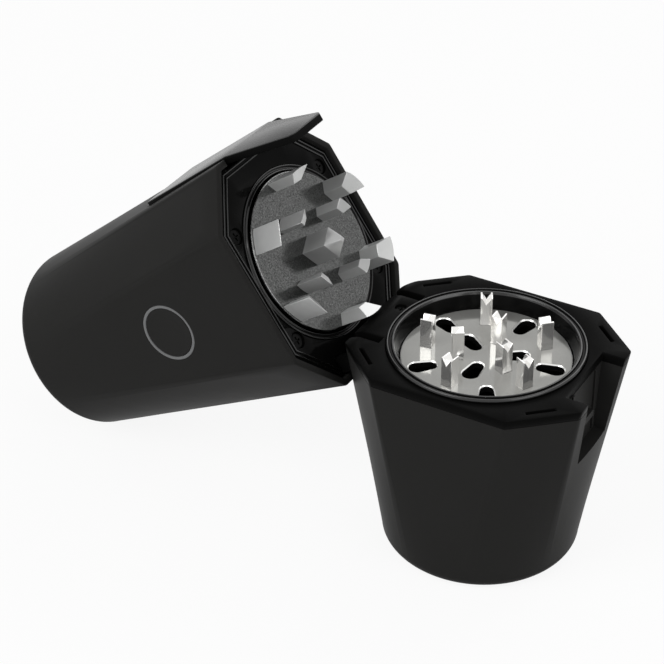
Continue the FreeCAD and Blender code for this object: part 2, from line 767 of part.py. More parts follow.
def make_grind_plate():
    body = doc.addObject("PartDesign::Body", "grind_plate_body")
    sketch = sketch_on(body, "grind_plate_outline", "XY_Plane")
    sketch.addGeometry(Part.Circle(FreeCAD.Vector(), FreeCAD.Vector(0, 0, 1), number("plate_radius")), False)
    sketch.addConstraint(Sketcher.Constraint("Coincident", 0, 3, -1, 1))
    index = sketch.addConstraint(Sketcher.Constraint("Radius", 0, number("plate_radius")))
    sketch.setExpression(f"Constraints[{index}]", named("plate_radius"))
    disc = body.newObject("PartDesign::Pad", "grind_plate_disc")
    disc.Profile = sketch
    bind(disc, {"Length": "plate_thick"})
    doc.recompute()
    solid_volume = body.Shape.Volume
    for row in ("outer", "inner"):
        hole = row + "_hole"
        teardrop_pocket(body, hole + "s", hole + "_near", hole + "_far", hole + "_start", row + "_pins")
        pin_bores(body, row + "_bores", row + "_pin_ring", row + "_pin_start", row + "_pins")
    if body.Shape.Volume > 0.9 * solid_volume:
        raise RuntimeError("the plate's holes were not cut")
    return finish(put(body, z="plate_top - plate_thick"), "grind_plate")


def forked_pin(ring, angle):
    """A square post with a notch across its top, on a round shank that fills its bore in the plate."""
    half = "pin_width / 2"
    post = block("pin_post", (f"{ring} - {half}", f"{ring} + {half}"), across(half), ("0", "pin_height"))
    notch = doc.addObject("Part::Wedge", "pin_notch")
    mouth = across("notch_width / 2")
    bind(notch, {"Xmin": "-pin_width", "Xmax": "pin_width", "X2min": "-pin_width", "X2max": "pin_width"})
    bind(notch, {"Ymin": "0", "Ymax": "notch_depth"})
    bind(notch, {"Zmin": mouth[0], "Zmax": mouth[1], "Z2min": "0", "Z2max": "0"})
    turn(notch, "x", "-90")
    put(notch, ring, "0", "pin_height")
    shank = rod("pin_shank_rod", "z", "pin_shank", "-plate_thick", "0", (ring, "0"))
    pin = join("pin", cut("pin_forked", post, notch), shank)
    turn(pin, "z", angle)
    return put(pin, z="plate_top")


def round_row(count, start, make):
    """Make one solid at each of count even angles from start."""
    return [make(f"{start} + {i} * 360 / {count}") for i in range(round(number(count)))]


def make_grind_pins():
    pins = round_row("outer_pins", "outer_pin_start", lambda angle: forked_pin("outer_pin_ring", angle))
    pins += round_row("inner_pins", "inner_pin_start", lambda angle: forked_pin("inner_pin_ring", angle))
    return finish(group("grind_pins_set", pins), "grind_pins")


make_cup_shell()
make_rim_cap()
make_collar()
make_grind_plate()
make_grind_pins()
finish(rod("foot_pad_disc", "z", "foot_radius", "0", "foot_thick"), "foot_pad")
finish(rod("hinge_pin_rod", "y", "hinge_pin_radius", "-block_half + running_gap", "block_half - running_gap",
           ("-hinge_back", "hinge_up")), "hinge_pin")

# Housing half, drawn closed

housing_outer = housing_form("housing_outer", 0, rounded=True)
housing_inner = housing_form("housing_inner", number("wall"))
face_outer = housing_form("face_outer", number("wall") + number("face_room"))


def lever_pocket(name, extra="0"):
    """Room for the latch lever: shallow beside the face plate, deeper above it where the lever swings in."""
    half = f"lever_half + lever_room + {extra}"
    upper = block(name + "_upper", (f"pocket_back - {extra}", FAR), across(half),
                  ("face_back + fit_gap", f"lever_top + lever_room + {extra}"))
    lower_back = f"lever_face - lever_thick - 2 * lever_room - {extra}"
    lower = block(name + "_lower", (lower_back, FAR), across(half), ("-wall", "face_back + wall"))
    return upper, lower


def screw_places():
    sides = [(side_x, side_y) for side_x in (1, -1) for side_y in (1, -1)]
    return [(f"{side_x} * face_screw_x", f"{side_y} * face_screw_y") for side_x, side_y in sides]


def board_places():
    return [(f"{side} * (board_half - board_screw_in)", f"button_up + {up}") for side in (1, -1)
            for up in ("board_above - board_screw_in", "board_screw_in - board_below")]


def make_motor_housing():
    skin = cut("housing_skin", housing_outer, housing_inner)
    backing_box, _ = lever_pocket("pocket_backing", "latch_wall")
    backing = overlap("pocket_backing_kept", housing_outer, backing_box)
    bosses = []
    for x, y in screw_places():
        side = "-1" if y.startswith("-") else "1"
        bosses.append(rod("screw_boss", "z", "boss_radius", "face_back", "face_back + boss_tall", (x, y)))
        rib = block("screw_rib", (f"{x} - wall / 2", f"{x} + wall / 2"),
                    (f"{y} - waist_half_y", f"{y} + waist_half_y"), ("face_back", "face_back + boss_tall"))
        outside = block("screw_rib_side", EVERYWHERE,
                        (f"min({y}; {side} * {FAR})", f"max({y}; {side} * {FAR})"), ("0", FAR))
        bosses.append(overlap("screw_rib_kept", rib, outside, housing_outer))
    posts = [rod("board_post", "y", "post_radius", "-button_face + wall / 2", "-board_front", place)
             for place in board_places()]
    solid = join("housing_solid", skin, backing, *bosses, *posts)
    tools = list(lever_pocket("lever_room_cut"))
    tools.append(rod("well_room", "z", "well_radius + well_wall + fit_gap", "-wall", "well_back + fit_gap"))
    tools += [rod("screw_bore", "z", "face_screw_radius", "-wall", "face_back + face_screw_long", place)
              for place in screw_places()]
    tools += [rod("post_bore", "y", "board_screw_radius", "-board_front - 3 * board_thick", "0", place)
              for place in board_places()]
    button_middle, lever_pivot = ("0", "button_up"), ("pivot_x", "lever_pivot_up")
    tools.append(rod("button_hole", "y", "ring_radius + fit_gap", "-" + FAR, "-board_front", button_middle))
    pin_reach = across("lever_half + lever_room + 0.8 * latch_wall")
    tools.append(rod("latch_pin_bore", "y", "latch_pin_radius", *pin_reach, lever_pivot))
    socket_tall = ("socket_up - socket_half_z - fit_gap", "socket_up + socket_half_z + fit_gap")
    tools.append(block("socket_hole", ("-" + FAR, "-socket_face + 2 * wall"),
                       across("socket_half_y + fit_gap"), socket_tall))
    return finish_in_lid(cut("motor_housing_solid", solid, *tools), "motor_housing")


FACE_SCREW_HEAD = ("face_sink + face_screw_sink", "face_sink + face_screw_sink + face_screw_head_tall")


def make_face_plate():
    slab = overlap("face_slab", face_outer,
                   block("face_slab_box", EVERYWHERE, EVERYWHERE, ("face_sink", "face_back")))
    guard_seat = rod("guard_seat", "z", "well_radius + guard_width + fit_gap", "-wall",
                     "face_sink - guard_rise + guard_thick")
    opening = rod("well_opening", "z", "well_radius", "-wall", FAR)
    _, lever_side = lever_pocket("face_lever_room", "face_room")
    tools = [guard_seat, opening, lever_side]
    notch_in = ("-" + FAR, "-hinge_back + arm_inner + face_room")
    tools += [block("face_arm_notch", notch_in, side, ("-" + FAR, "face_back"))
              for side in both_sides("arm_near - face_room", "arm_far + face_room")]
    for place in screw_places():
        tools.append(rod("face_screw_hole", "z", "face_screw_radius", "-wall", "face_back + wall", place))
        tools.append(rod("face_screw_sunk", "z", "face_screw_head + 2 * fit_gap", "-wall", FACE_SCREW_HEAD[1],
                         place))
    for place in arm_screw_places():
        tools.append(rod("arm_screw_hole", "z", "arm_screw_radius", "-wall", "face_back + wall", place))
    return finish_in_lid(cut("face_plate_solid", slab, *tools), "face_plate")


def arm_screw_places():
    return [("-hinge_back", f"{side} * arm_screw_side") for side in (1, -1)]


def make_guard_ring():
    inner, outer = "well_radius", "well_radius + guard_width"
    top, back = "face_sink - guard_rise", "face_sink - guard_rise + guard_thick"
    middle = "well_radius + guard_width / 2"
    dip = f"{top} + 2 * guard_rise"
    ring = turned("guard_ring_body", [
        (inner, back), (inner, top), (f"{inner} + guard_rise", top), (f"{middle} - guard_rise / 2", dip),
        (f"{middle} + guard_rise / 2", dip), (f"{outer} - guard_rise", top), (outer, top), (outer, back)])
    return finish_in_lid(ring, "guard_ring")


def make_cutter_well():
    well = turned("cutter_well_body", [
        ("well_radius", "face_back"), ("well_radius + well_wall", "face_back"),
        ("well_radius + well_wall", "well_back"), ("nose_bore + fit_gap", "well_back"),
        ("nose_bore + fit_gap", "well_floor"), ("well_radius", "well_floor")])
    return finish_in_lid(well, "cutter_well")


def make_hinge_arm():
    """Two arms from a plate behind the face plate down to knuckles round the hinge pin."""
    pivot = ("-hinge_back", "-lid_rise")
    arm_deep = ("-hinge_back - arm_outer", "-hinge_back + arm_inner")
    arms = []
    for side in both_sides("arm_near", "arm_far"):
        arms.append(rod("knuckle", "y", "knuckle_radius", *side, pivot))
        arms.append(block("arm", arm_deep, side, ("-lid_rise", "face_back")))
    foot_box = block("arm_foot_box", ("-" + FAR, "-well_radius - well_wall - fit_gap"),
                     across("notch_half + arm_screw_head"), ("face_back", "face_back + arm_foot_thick"))
    foot = overlap("arm_foot", foot_box, face_outer)
    tools = [rod("arm_pin_bore", "y", "hinge_pin_radius + running_gap", *EVERYWHERE, pivot)]
    tools += [rod("arm_screw_bore", "z", "arm_screw_radius", "0", FAR, place) for place in arm_screw_places()]
    return finish_in_lid(cut("hinge_arm_solid", join("arm_joined", foot, *arms), *tools), "hinge_arm")


def screws(axis, radius, head_radius, places, head, shank):
    """Round-headed screws at the given places, with the spans of the head and of the shank along the axis."""
    return [join("screw", rod("screw_head", axis, head_radius, *head, place),
                 rod("screw_shank", axis, radius, *shank, place)) for place in places]


def make_screws():
    hinge = screws("z", "hinge_screw_radius", "hinge_screw_head", [HINGE_SCREW_PLACE], HINGE_SCREW_HEAD,
                   (HINGE_SCREW_TIP, HINGE_SCREW_HEAD[0]))
    finish(group("hinge_screw_set", hinge), "hinge_screw")
    face = screws("z", "face_screw_radius", "face_screw_head", screw_places(), FACE_SCREW_HEAD,
                  (FACE_SCREW_HEAD[1], "face_back + 0.9 * face_screw_long"))
    finish_in_lid(group("face_screw_set", face), "face_screws")
    arm_head = ("face_sink - 0.7 * arm_screw_radius", "face_sink")
    arm_shank = ("face_sink", "face_back + arm_foot_thick")
    arm = screws("z", "arm_screw_radius", "arm_screw_head", arm_screw_places(), arm_head, arm_shank)
    finish_in_lid(group("arm_screw_set", arm), "arm_screws")
    board_head = ("-board_back", "-board_back + board_screw_head_tall")
    board_shank = ("-board_front - 2 * board_thick", "-board_back")
    board = screws("y", "board_screw_radius", "board_screw_head", board_places(), board_head, board_shank)
    finish_in_lid(group("board_screw_set", board), "board_screws")


# Cutter

def wedge_tooth(row, angle):
    """A tooth with a round back that narrows inwards, and a tip that falls away inwards."""
    tooth = row + "_tooth_"
    body = doc.addObject("Part::Wedge", tooth + "body")
    wide, narrow = across(f"{tooth}wide / 2"), across(f"{tooth}narrow / 2")
    bind(body, {"Xmin": wide[0], "Xmax": wide[1], "X2min": narrow[0], "X2max": narrow[1]})
    bind(body, {"Ymin": "0", "Ymax": tooth + "deep"})
    bind(body, {"Zmin": f"-{tooth}tall", "Zmax": "0", "Z2min": f"{tooth}drop - {tooth}tall", "Z2max": "0"})
    turn(body, "z", "90")
    put(body, tooth + "ring")
    back = rod(tooth + "back", "z", tooth + "ring", f"-{tooth}tall", "0")
    return turn(overlap(row + "_tooth", body, back), "z", angle)


def middle_tooth():
    """A square post with a four-sided point."""
    side = "middle_tooth_side"
    half = across(f"{side} / 2")
    post = block("middle_post", half, half, ("-middle_tooth_tall", "0"))
    point = doc.addObject("Part::Wedge", "middle_point")
    tip = across(f"{side} / 10")
    bind(point, {"Ymin": "0", "Ymax": "middle_tooth_peak"})
    for letter in "XZ":
        bind(point, {letter + "min": half[0], letter + "max": half[1]})
        bind(point, {letter + "2min": tip[0], letter + "2max": tip[1]})
    turn(point, "x", "-90")
    put(point, z="-middle_tooth_tall")
    return turn(join("middle_tooth", post, point), "z", "middle_tooth_turn")


def make_cutter():
    finish_in_lid(rod("cutter_disc_body", "z", "cutter_radius", "0", "cutter_thick"), "cutter_disc")
    teeth = [middle_tooth()]
    for row in ("outer", "inner"):
        teeth += round_row(row + "_teeth", row + "_tooth_start", lambda angle: wedge_tooth(row, angle))
    finish_in_lid(group("cutter_teeth_set", teeth), "cutter_teeth")
    spindle = doc.addObject("Part::Prism", "spindle_bar")
    spindle.Polygon = 6
    bind(spindle, {"Circumradius": "hex_radius", "Height": "spindle_end - cutter_thick"})
    finish_in_lid(put(spindle, z="cutter_thick"), "spindle")


# Drive train

def make_output_hub():
    hub = turned("hub_body", [
        ("hex_radius / 4", "hub_front"), ("hub_radius", "hub_front"), ("hub_radius", "hub_seat"),
        ("hub_seat_radius", "hub_seat"), ("hub_seat_radius", "hub_seat + hub_seat_thick"),
        ("hub_radius", "hub_seat + hub_seat_thick"), ("hub_radius", "carrier_low"),
        ("carrier_radius", "carrier_low"),
        ("carrier_radius", "carrier_low + carrier_thick"), ("hex_radius / 4", "carrier_low + carrier_thick")])
    bore = doc.addObject("Part::Prism", "hub_bore")
    bore.Polygon = 6
    bind(bore, {"Circumradius": "hex_radius + 2 * running_gap", "Height": "carrier_low - hub_front + wall"})
    put(bore, z="hub_front - wall")
    pin_holes = round_row("planet_count", "90", lambda angle: rod(
        "planet_pin_hole", "z", "planet_pin_radius", "carrier_low - wall", FAR,
        (f"planet_orbit * cos({angle})", f"planet_orbit * sin({angle})")))
    finish_in_lid(cut("output_hub_solid", hub, bore, *pin_holes), "output_hub")
    pins = round_row("planet_count", "90", lambda angle: rod(
        "planet_pin", "z", "planet_pin_radius", "carrier_low", "gear_high",
        (f"planet_orbit * cos({angle})", f"planet_orbit * sin({angle})")))
    finish_in_lid(group("planet_pin_set", pins), "planet_pins")
    spring_in = "hub_radius + spring_gap"
    spring = turned("spring_body", [
        (spring_in, "cutter_thick"), (f"{spring_in} + spring_wire", "cutter_thick"),
        (f"{spring_in} + spring_wire", "hub_seat"), (spring_in, "hub_seat")])
    finish_in_lid(spring, "spindle_spring")


def tooth_corners(teeth, pitch, first, last, way, phase, middle_at):
    """Corners round a gear: each tooth rises from radius first to radius last with straight flanks."""
    half_at_pitch = math.pi / (2 * teeth) * (1 - number("gear_slack"))
    flank = math.tan(math.radians(20)) / pitch
    corners = []
    for i in range(teeth):
        middle = phase + 2 * math.pi * i / teeth
        for radius, side in ((first, -1), (last, -1), (last, 1), (first, 1)):
            angle = middle + side * (half_at_pitch + way * flank * (pitch - radius))
            corners.append(middle_at + FreeCAD.Vector(radius * math.cos(angle), radius * math.sin(angle), 0))
    return corners


def gear_prism(corners, tall):
    face = Part.Face(Part.makePolygon(corners + corners[:1]))
    return face.extrude(FreeCAD.Vector(0, 0, tall))


def outer_gear(label, teeth, pitch, bore, phase, x=0.0, y=0.0):
    module, tall = number("gear_module"), number("gear_tall")
    tip, root = pitch + number("gear_addendum") * module, pitch - number("gear_dedendum") * module
    middle_at = FreeCAD.Vector(x, y, number("gear_low"))
    solid = gear_prism(tooth_corners(teeth, pitch, root, tip, 1, phase, middle_at), tall)
    piece = doc.addObject("Part::Feature", label + "_solid")
    piece.Shape = solid.cut(Part.makeCylinder(bore, tall, middle_at))
    return finish_in_lid(piece, label)


def make_gears():
    module = number("gear_module")
    shaft, pin = number("motor_shaft_radius"), number("planet_pin_radius") + number("running_gap")
    outer_gear("sun_pinion", round(number("sun_teeth")), number("sun_pitch"), shaft, 0)
    teeth, orbit, count = round(number("planet_teeth")), number("planet_orbit"), round(number("planet_count"))
    for i in range(count):
        angle = math.pi / 2 + 2 * math.pi * i / count
        outer_gear(f"planet_gear_{i + 1}", teeth, number("planet_pitch"), pin, angle + math.pi / teeth,
                   orbit * math.cos(angle), orbit * math.sin(angle))
    pitch, teeth = number("ring_pitch"), round(number("ring_teeth"))
    root, tip = pitch + number("gear_dedendum") * module, pitch - number("gear_addendum") * module
    middle_at = FreeCAD.Vector(0, 0, number("gear_low") - number("gear_gap"))
    tall = number("motor_plate_low") - middle_at.z
    space = gear_prism(tooth_corners(teeth, pitch, root, tip, -1, 0, middle_at), tall)
    blank = Part.makeCylinder(number("ring_outer") - number("fit_gap"), tall, middle_at)
    ring = doc.addObject("Part::Feature", "ring_gear_solid")
    ring.Shape = blank.cut(space)
    finish_in_lid(ring, "ring_gear")


def make_gearbox_case():
    shoulder = "gear_low - gear_gap"
    front = "carrier_low - gear_gap"
    nose = "nose_bore + nose_wall"
    carrier_room = "carrier_radius + 3 * gear_gap"
    case = turned("gearbox_case_body", [
        ("nose_bore", "well_back"), (nose, "well_back"), (nose, f"{front} - case_wall"),
        ("case_radius", f"{front} - case_wall"), ("case_radius", "motor_plate_low"),
        ("ring_outer", "motor_plate_low"), ("ring_outer", shoulder), (carrier_room, shoulder),
        (carrier_room, front), ("nose_bore", front)])
    finish_in_lid(case, "gearbox_case")
    bush_bore, bush_high = "hub_radius + running_gap", "bush_low + bush_long"
    bush = turned("output_bush_body", [
        (bush_bore, "bush_low"), ("nose_bore", "bush_low"), ("nose_bore", bush_high), (bush_bore, bush_high)])
    finish_in_lid(bush, "output_bush")


def make_motor():
    plate = turned("motor_plate_body", [
        ("motor_plate_hole", "motor_plate_low"), ("case_radius", "motor_plate_low"),
        ("case_radius", "motor_low"), ("motor_plate_hole", "motor_low")])
    finish_in_lid(plate, "motor_plate")
    can = rod("motor_can_body", "z", "motor_radius", "motor_low", "motor_high")
    bore = rod("motor_shaft_bore", "z", "motor_shaft_radius + running_gap", "motor_low - wall",
               "motor_low + motor_shaft_held + running_gap")
    finish_in_lid(cut("motor_can_solid", can, bore), "motor_can")
    shaft = rod("motor_shaft_rod", "z", "motor_shaft_radius", "gear_low", "motor_low + motor_shaft_held")
    finish_in_lid(shaft, "motor_shaft")


def make_battery():
    cell = rod("battery_cell_rod", "x", "cell_radius", "-cell_long / 2", "cell_long / 2", ("0", "cell_up"))
    finish_in_lid(cell, "battery_cell")
    seat = rod("cell_seat", "x", "cell_radius + fit_gap", *EVERYWHERE, ("0", "cell_up"))
    saddle = block("cradle_block", ("-cradle_half_x", "cradle_half_x"), ("-cradle_half_y", "cradle_half_y"),
                   ("motor_high", "motor_high + cradle_base + cradle_side"))
    finish_in_lid(cut("battery_cradle_solid", saddle, seat), "battery_cradle")


def make_control():
    middle = ("0", "button_up")
    cap = rod("button_disc", "y", "button_radius", "-button_face", "-button_face + button_thick", middle)
    flange = rod("button_flange_disc", "y", "button_radius + button_flange", "-button_face + button_thick",
                 "-button_back", middle)
    finish_in_lid(join("button_cap_solid", cap, flange), "button_cap")
    ring_back = "-button_face + button_thick - ring_back_gap"
    ring = rod("light_ring_disc", "y", "ring_radius", "-button_face", ring_back, middle)
    ring_hole = rod("light_ring_hole", "y", "button_radius + button_gap", "-" + FAR, "0", middle)
    finish_in_lid(cut("light_ring_solid", ring, ring_hole), "light_ring")
    plunger = rod("plunger_rod", "y", "plunger_radius", "-button_back", "-plunger_back", middle)
    finish_in_lid(plunger, "switch_plunger")
    half = "switch_side / 2"
    case = block("switch_case", across(half), ("-switch_front", "-board_front"),
                 (f"button_up - {half}", f"button_up + {half}"))
    well_end = "-switch_front + 1.5 * button_travel"
    well = rod("switch_well", "y", "plunger_radius + 2 * running_gap", "-" + FAR, well_end, middle)
    finish_in_lid(cut("tact_switch_solid", case, well), "tact_switch")
    board = block("board_slab", ("-board_half", "board_half"), ("-board_front", "-board_back"),
                  ("button_up - board_below", "button_up + board_above"))
    holes = [rod("board_hole", "y", "board_screw_radius", "-" + FAR, "0", place) for place in board_places()]
    finish_in_lid(cut("control_board_solid", board, *holes), "control_board")


def make_charging_socket():
    case = block("socket_case", ("-socket_face", "-socket_face + socket_deep"), across("socket_half_y"),
                 ("socket_up - socket_half_z", "socket_up + socket_half_z"))
    inner_tall = ("socket_up - socket_half_z + socket_wall", "socket_up + socket_half_z - socket_wall")
    hollow = block("socket_hollow", ("-" + FAR, "-socket_face + socket_deep - wall"),
                   across("socket_half_y - socket_wall"), inner_tall)
    tongue_deep = ("-socket_face + 2 * socket_wall", "-socket_face + socket_deep - wall / 2")
    tongue = block("socket_tongue", tongue_deep, across("tongue_half_y"),
                   ("socket_up - tongue_half_z", "socket_up + tongue_half_z"))
    finish_in_lid(join("charging_socket_solid", cut("socket_shell", case, hollow), tongue), "charging_socket")


# Latch lever

def make_latch():
    """A plate along the housing's face that bends at the waist and runs on down into the cup's recess."""
    top_x = "lever_face - face_slope_x * lever_top"
    tip_x = "lever_face - cup_slope_x * (lever_flap + rim_gap)"
    outer_face = [(top_x, "lever_top"), ("lever_face", "0"), (tip_x, "-lever_flap")]
    inner_face = [(f"{x} - lever_thick", z) for x, z in reversed(outer_face)]
    side = padded("lever_side", "XZ_Plane", outer_face + inner_face, "3 * lever_half", symmetric=True)
    side_low = "lever_tip_half + lever_corner * (lever_half - lever_tip_half) / lever_flap"
    front_half = [("lever_tip_half - lever_corner", "-lever_flap"), (side_low, "lever_corner - lever_flap"),
                  ("lever_half", "0"), ("lever_half", "lever_top")]
    mirrored = [(f"-({y})", z) for y, z in reversed(front_half)]
    front = padded("lever_front", "YZ_Plane", front_half + mirrored, "2 * waist_half_x")
    plate = overlap("lever_plate", side, front)
    lugs = []
    for ends in both_sides("lug_near", "lug_far"):
        lugs.append(rod("lever_lug", "y", "lug_radius", *ends, ("pivot_x", "lever_pivot_up")))
        lugs.append(block("lever_lug_root", ("pivot_x", "pivot_x + lever_pivot_in + lever_thick / 2"), ends,
                          ("lever_pivot_up - lug_radius", "lever_pivot_up + lug_radius")))
    hook_face = "lever_face - cup_slope_x * (rim_gap - hook_top) - lever_thick"
    hook = block("lever_hook", (f"{hook_face} - hook_reach", f"{hook_face} + lever_thick / 2"),
                 ("-hook_half", "hook_half"), ("hook_top - hook_tall", "hook_top"))
    pivot = ("pivot_x", "lever_pivot_up")
    bore = rod("lever_bore", "y", "latch_pin_radius + running_gap", *EVERYWHERE, pivot)
    finish_in_lid(cut("latch_lever_solid", join("lever_joined", plate, hook, *lugs), bore), "latch_lever")
    reach = across("lever_half + lever_room + 0.8 * latch_wall - running_gap")
    pin = rod("latch_pin_rod", "y", "latch_pin_radius", *reach, pivot)
    finish_in_lid(pin, "latch_pin")


make_motor_housing()
make_face_plate()
make_guard_ring()
make_cutter_well()
make_hinge_arm()
make_screws()
make_cutter()
make_output_hub()
make_gears()
make_gearbox_case()
make_motor()
make_battery()
make_control()
make_charging_socket()
make_latch()

doc.recompute()
for item in doc.Objects:
    if "Invalid" in item.State or "Error" in item.State:
        raise RuntimeError(f"{item.Name} failed: {item.State}")
for piece in PIECES:
    if piece.Shape.isNull() or not piece.Shape.isValid() or not piece.Shape.Solids:
        raise RuntimeError(f"{piece.Label} has no valid solid")

os.makedirs("parts", exist_ok=True)
for piece in PIECES:
    piece.Shape.exportStep(f"parts/{piece.Label}.step")
    box = piece.Shape.BoundBox
    print(f"{piece.Label}: {len(piece.Shape.Solids)} solids, {piece.Shape.Volume:.1f} mm3,"
          f" z {box.ZMin:.2f} to {box.ZMax:.2f}")
print(f"opens to {number('open_angle'):.3f} degrees")
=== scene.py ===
# %% [markdown]
# # A hinged electric herb grinder, lying open
# The CAD model gives every piece its place and size. This lesson dresses it: the satin black shells, the
# gloss black collar, the polished grinding plate and the cutter. It also models the small pieces whose
# shape carries the look, such as the forked pins and the teeth. Everything is in metres, in the frame of
# the CAD model.

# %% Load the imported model
import json
import math

import bmesh
import bpy
from mathutils import Matrix, Vector


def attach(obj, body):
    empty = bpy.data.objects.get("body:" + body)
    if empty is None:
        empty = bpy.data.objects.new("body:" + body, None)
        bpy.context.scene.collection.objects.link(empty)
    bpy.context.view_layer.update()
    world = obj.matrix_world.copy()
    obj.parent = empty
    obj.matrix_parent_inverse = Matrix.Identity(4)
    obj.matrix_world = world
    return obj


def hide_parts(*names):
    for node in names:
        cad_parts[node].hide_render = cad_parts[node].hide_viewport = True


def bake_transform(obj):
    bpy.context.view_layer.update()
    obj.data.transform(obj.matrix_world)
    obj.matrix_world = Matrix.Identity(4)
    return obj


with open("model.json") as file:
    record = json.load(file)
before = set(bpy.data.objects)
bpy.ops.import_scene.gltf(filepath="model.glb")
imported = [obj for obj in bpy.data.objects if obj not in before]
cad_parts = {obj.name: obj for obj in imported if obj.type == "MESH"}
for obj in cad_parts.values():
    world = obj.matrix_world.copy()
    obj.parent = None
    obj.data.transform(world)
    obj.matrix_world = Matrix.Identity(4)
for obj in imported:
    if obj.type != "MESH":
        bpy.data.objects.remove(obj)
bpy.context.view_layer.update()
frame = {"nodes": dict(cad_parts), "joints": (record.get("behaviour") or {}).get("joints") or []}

nodes = frame["nodes"]
bpy.ops.object.select_all(action="DESELECT")

# %% [markdown]
# ## Camera
# The camera's place was worked out from the corners of the waist and the two round ends in the
# photograph. It is a long lens from about 0.6 m away, looking down on the cup from its latch side. A
# camera looks along its own -Z, so its turn is built from three directions: right, up and back.

# %% Camera
MM = 0.001
FRAME_PIXELS = 664
FOCAL_PIXELS = 2080.157
SENSOR = 36.0
NEAREST = 10 * MM
AZIMUTH, ELEVATION, ROLL = (math.radians(angle) for angle in (30.414, 33.648, -0.618))
CAMERA_PLACE = Vector((197.458, -417.914, 373.509)) * MM

back = Vector((math.sin(AZIMUTH) * math.cos(ELEVATION), -math.cos(AZIMUTH) * math.cos(ELEVATION),
               math.sin(ELEVATION)))
level_right = Vector((math.cos(AZIMUTH), math.sin(AZIMUTH), 0))
level_up = back.cross(level_right)
right = level_right * math.cos(ROLL) + level_up * math.sin(ROLL)
up = back.cross(right)
camera = bpy.data.objects.new("camera", bpy.data.cameras.new("camera"))
bpy.context.scene.collection.objects.link(camera)
camera.matrix_world = Matrix.Translation(CAMERA_PLACE) @ Matrix((right, up, back)).transposed().to_4x4()
camera.data.sensor_width = SENSOR
camera.data.lens = SENSOR * FOCAL_PIXELS / FRAME_PIXELS
camera.data.clip_start = NEAREST
bpy.context.scene.camera = camera
bpy.context.scene.view_settings.view_transform = "Standard"
print("lens:", round(camera.data.lens, 2), "mm")

# %% [markdown]
# ## Sums with sockets
# A finish is a small network of nodes. Writing it as sums keeps it readable, so one class wraps an output
# socket and turns +, - and * into Math nodes. Every other kind of node comes from its `node` method:
# first the settings, then what goes into the sockets, either a plain value or another wrapped socket.

# %% Wrapped sockets
class Wire:
    """An output socket in a node tree that can be added, subtracted and multiplied."""

    def __init__(self, tree, socket=None):
        self.tree = tree
        self.socket = socket

    def node(self, kind, settings=None, inputs=None, output=0):
        """Add a node with its settings and inputs, and return one of its outputs."""
        made = self.tree.nodes.new(kind)
        for name, value in (settings or {}).items():
            setattr(made, name, value)
        for name, value in (inputs or {}).items():
            if isinstance(value, Wire):
                self.tree.links.new(value.socket, made.inputs[name])
            else:
                made.inputs[name].default_value = value
        return Wire(self.tree, made.outputs[output])

    def math(self, operation, *values):
        """A Math node on wires and plain values."""
        return self.node("ShaderNodeMath", {"operation": operation}, dict(enumerate(values)))

    def __add__(self, other):
        return self.math("ADD", self, other)

    __radd__ = __add__

    def __sub__(self, other):
        return self.math("SUBTRACT", self, other)

    def __rsub__(self, other):
        return self.math("SUBTRACT", other, self)

    def __mul__(self, other):
        return self.math("MULTIPLY", self, other)

    __rmul__ = __mul__

    def into(self, shader, socket):
        """Link this output to an input of a shader or of an output node."""
        self.tree.links.new(self.socket, shader.inputs[socket])


# %% [markdown]
# ## Stage and light
# The photograph shows the grinder on plain white. The floor and the surroundings are white to the camera
# and to polished metal through the Light Path node, and the floor still takes part of the object's
# shadow. Three large soft lamps stand round the grinder as in a small studio.

# %% Floor
FLOOR_HALF = 6.0
FLOOR_GREY = (0.86, 0.86, 0.86, 1)
WHITE = (1, 1, 1, 1)
SHADOW_SHARE = 0.1


def clear_rays(wire):
    """1 for rays that come from the camera, off a gloss or through glass, and 0 for the rest."""
    kinds = ("Is Camera Ray", "Is Glossy Ray", "Is Transmission Ray")
    seen, mirrored, through = (wire.node("ShaderNodeLightPath", output=kind) for kind in kinds)
    return seen + mirrored + through


bpy.ops.mesh.primitive_plane_add(size=2 * FLOOR_HALF, location=(0, 0, 0))
floor = bpy.context.object
floor.name = "floor"
paper = bpy.data.materials.new("white_paper")
paper.use_nodes = True
paper.node_tree.nodes.clear()
paper_wire = Wire(paper.node_tree)
matt_white = paper_wire.node("ShaderNodeBsdfDiffuse", inputs={"Color": FLOOR_GREY})
clear_white = paper_wire.node("ShaderNodeEmission", inputs={"Color": WHITE, "Strength": 1.0})
clear_share = clear_rays(paper_wire) * (1 - SHADOW_SHARE)
paper_look = paper_wire.node("ShaderNodeMixShader", inputs={0: clear_share, 1: matt_white, 2: clear_white})
paper_look.into(paper.node_tree.nodes.new("ShaderNodeOutputMaterial"), "Surface")
floor.data.materials.append(paper)
print("floor:", 2 * FLOOR_HALF, "m across")

# %% World and lamps
WORLD_LIGHT = 0.42
AIM = Vector((-0.03, 0, 0.05))
LAMPS = {
    "key_lamp": {"place": (-0.46, -0.8, 0.8), "size": 0.7, "power": 7.0},
    "fill_lamp": {"place": (0.95, -0.26, 0.7), "size": 0.8, "power": 4.5},
    "back_lamp": {"place": (0.1, 0.9, 0.8), "size": 0.8, "power": 3.5},
}

world = bpy.data.worlds.new("studio")
world.use_nodes = True
bpy.context.scene.world = world
world.node_tree.nodes.clear()
sky = Wire(world.node_tree)
brightness = WORLD_LIGHT + clear_rays(sky) * (1 - WORLD_LIGHT)
backdrop = sky.node("ShaderNodeBackground", inputs={"Color": WHITE, "Strength": brightness})
backdrop.into(world.node_tree.nodes.new("ShaderNodeOutputWorld"), "Surface")

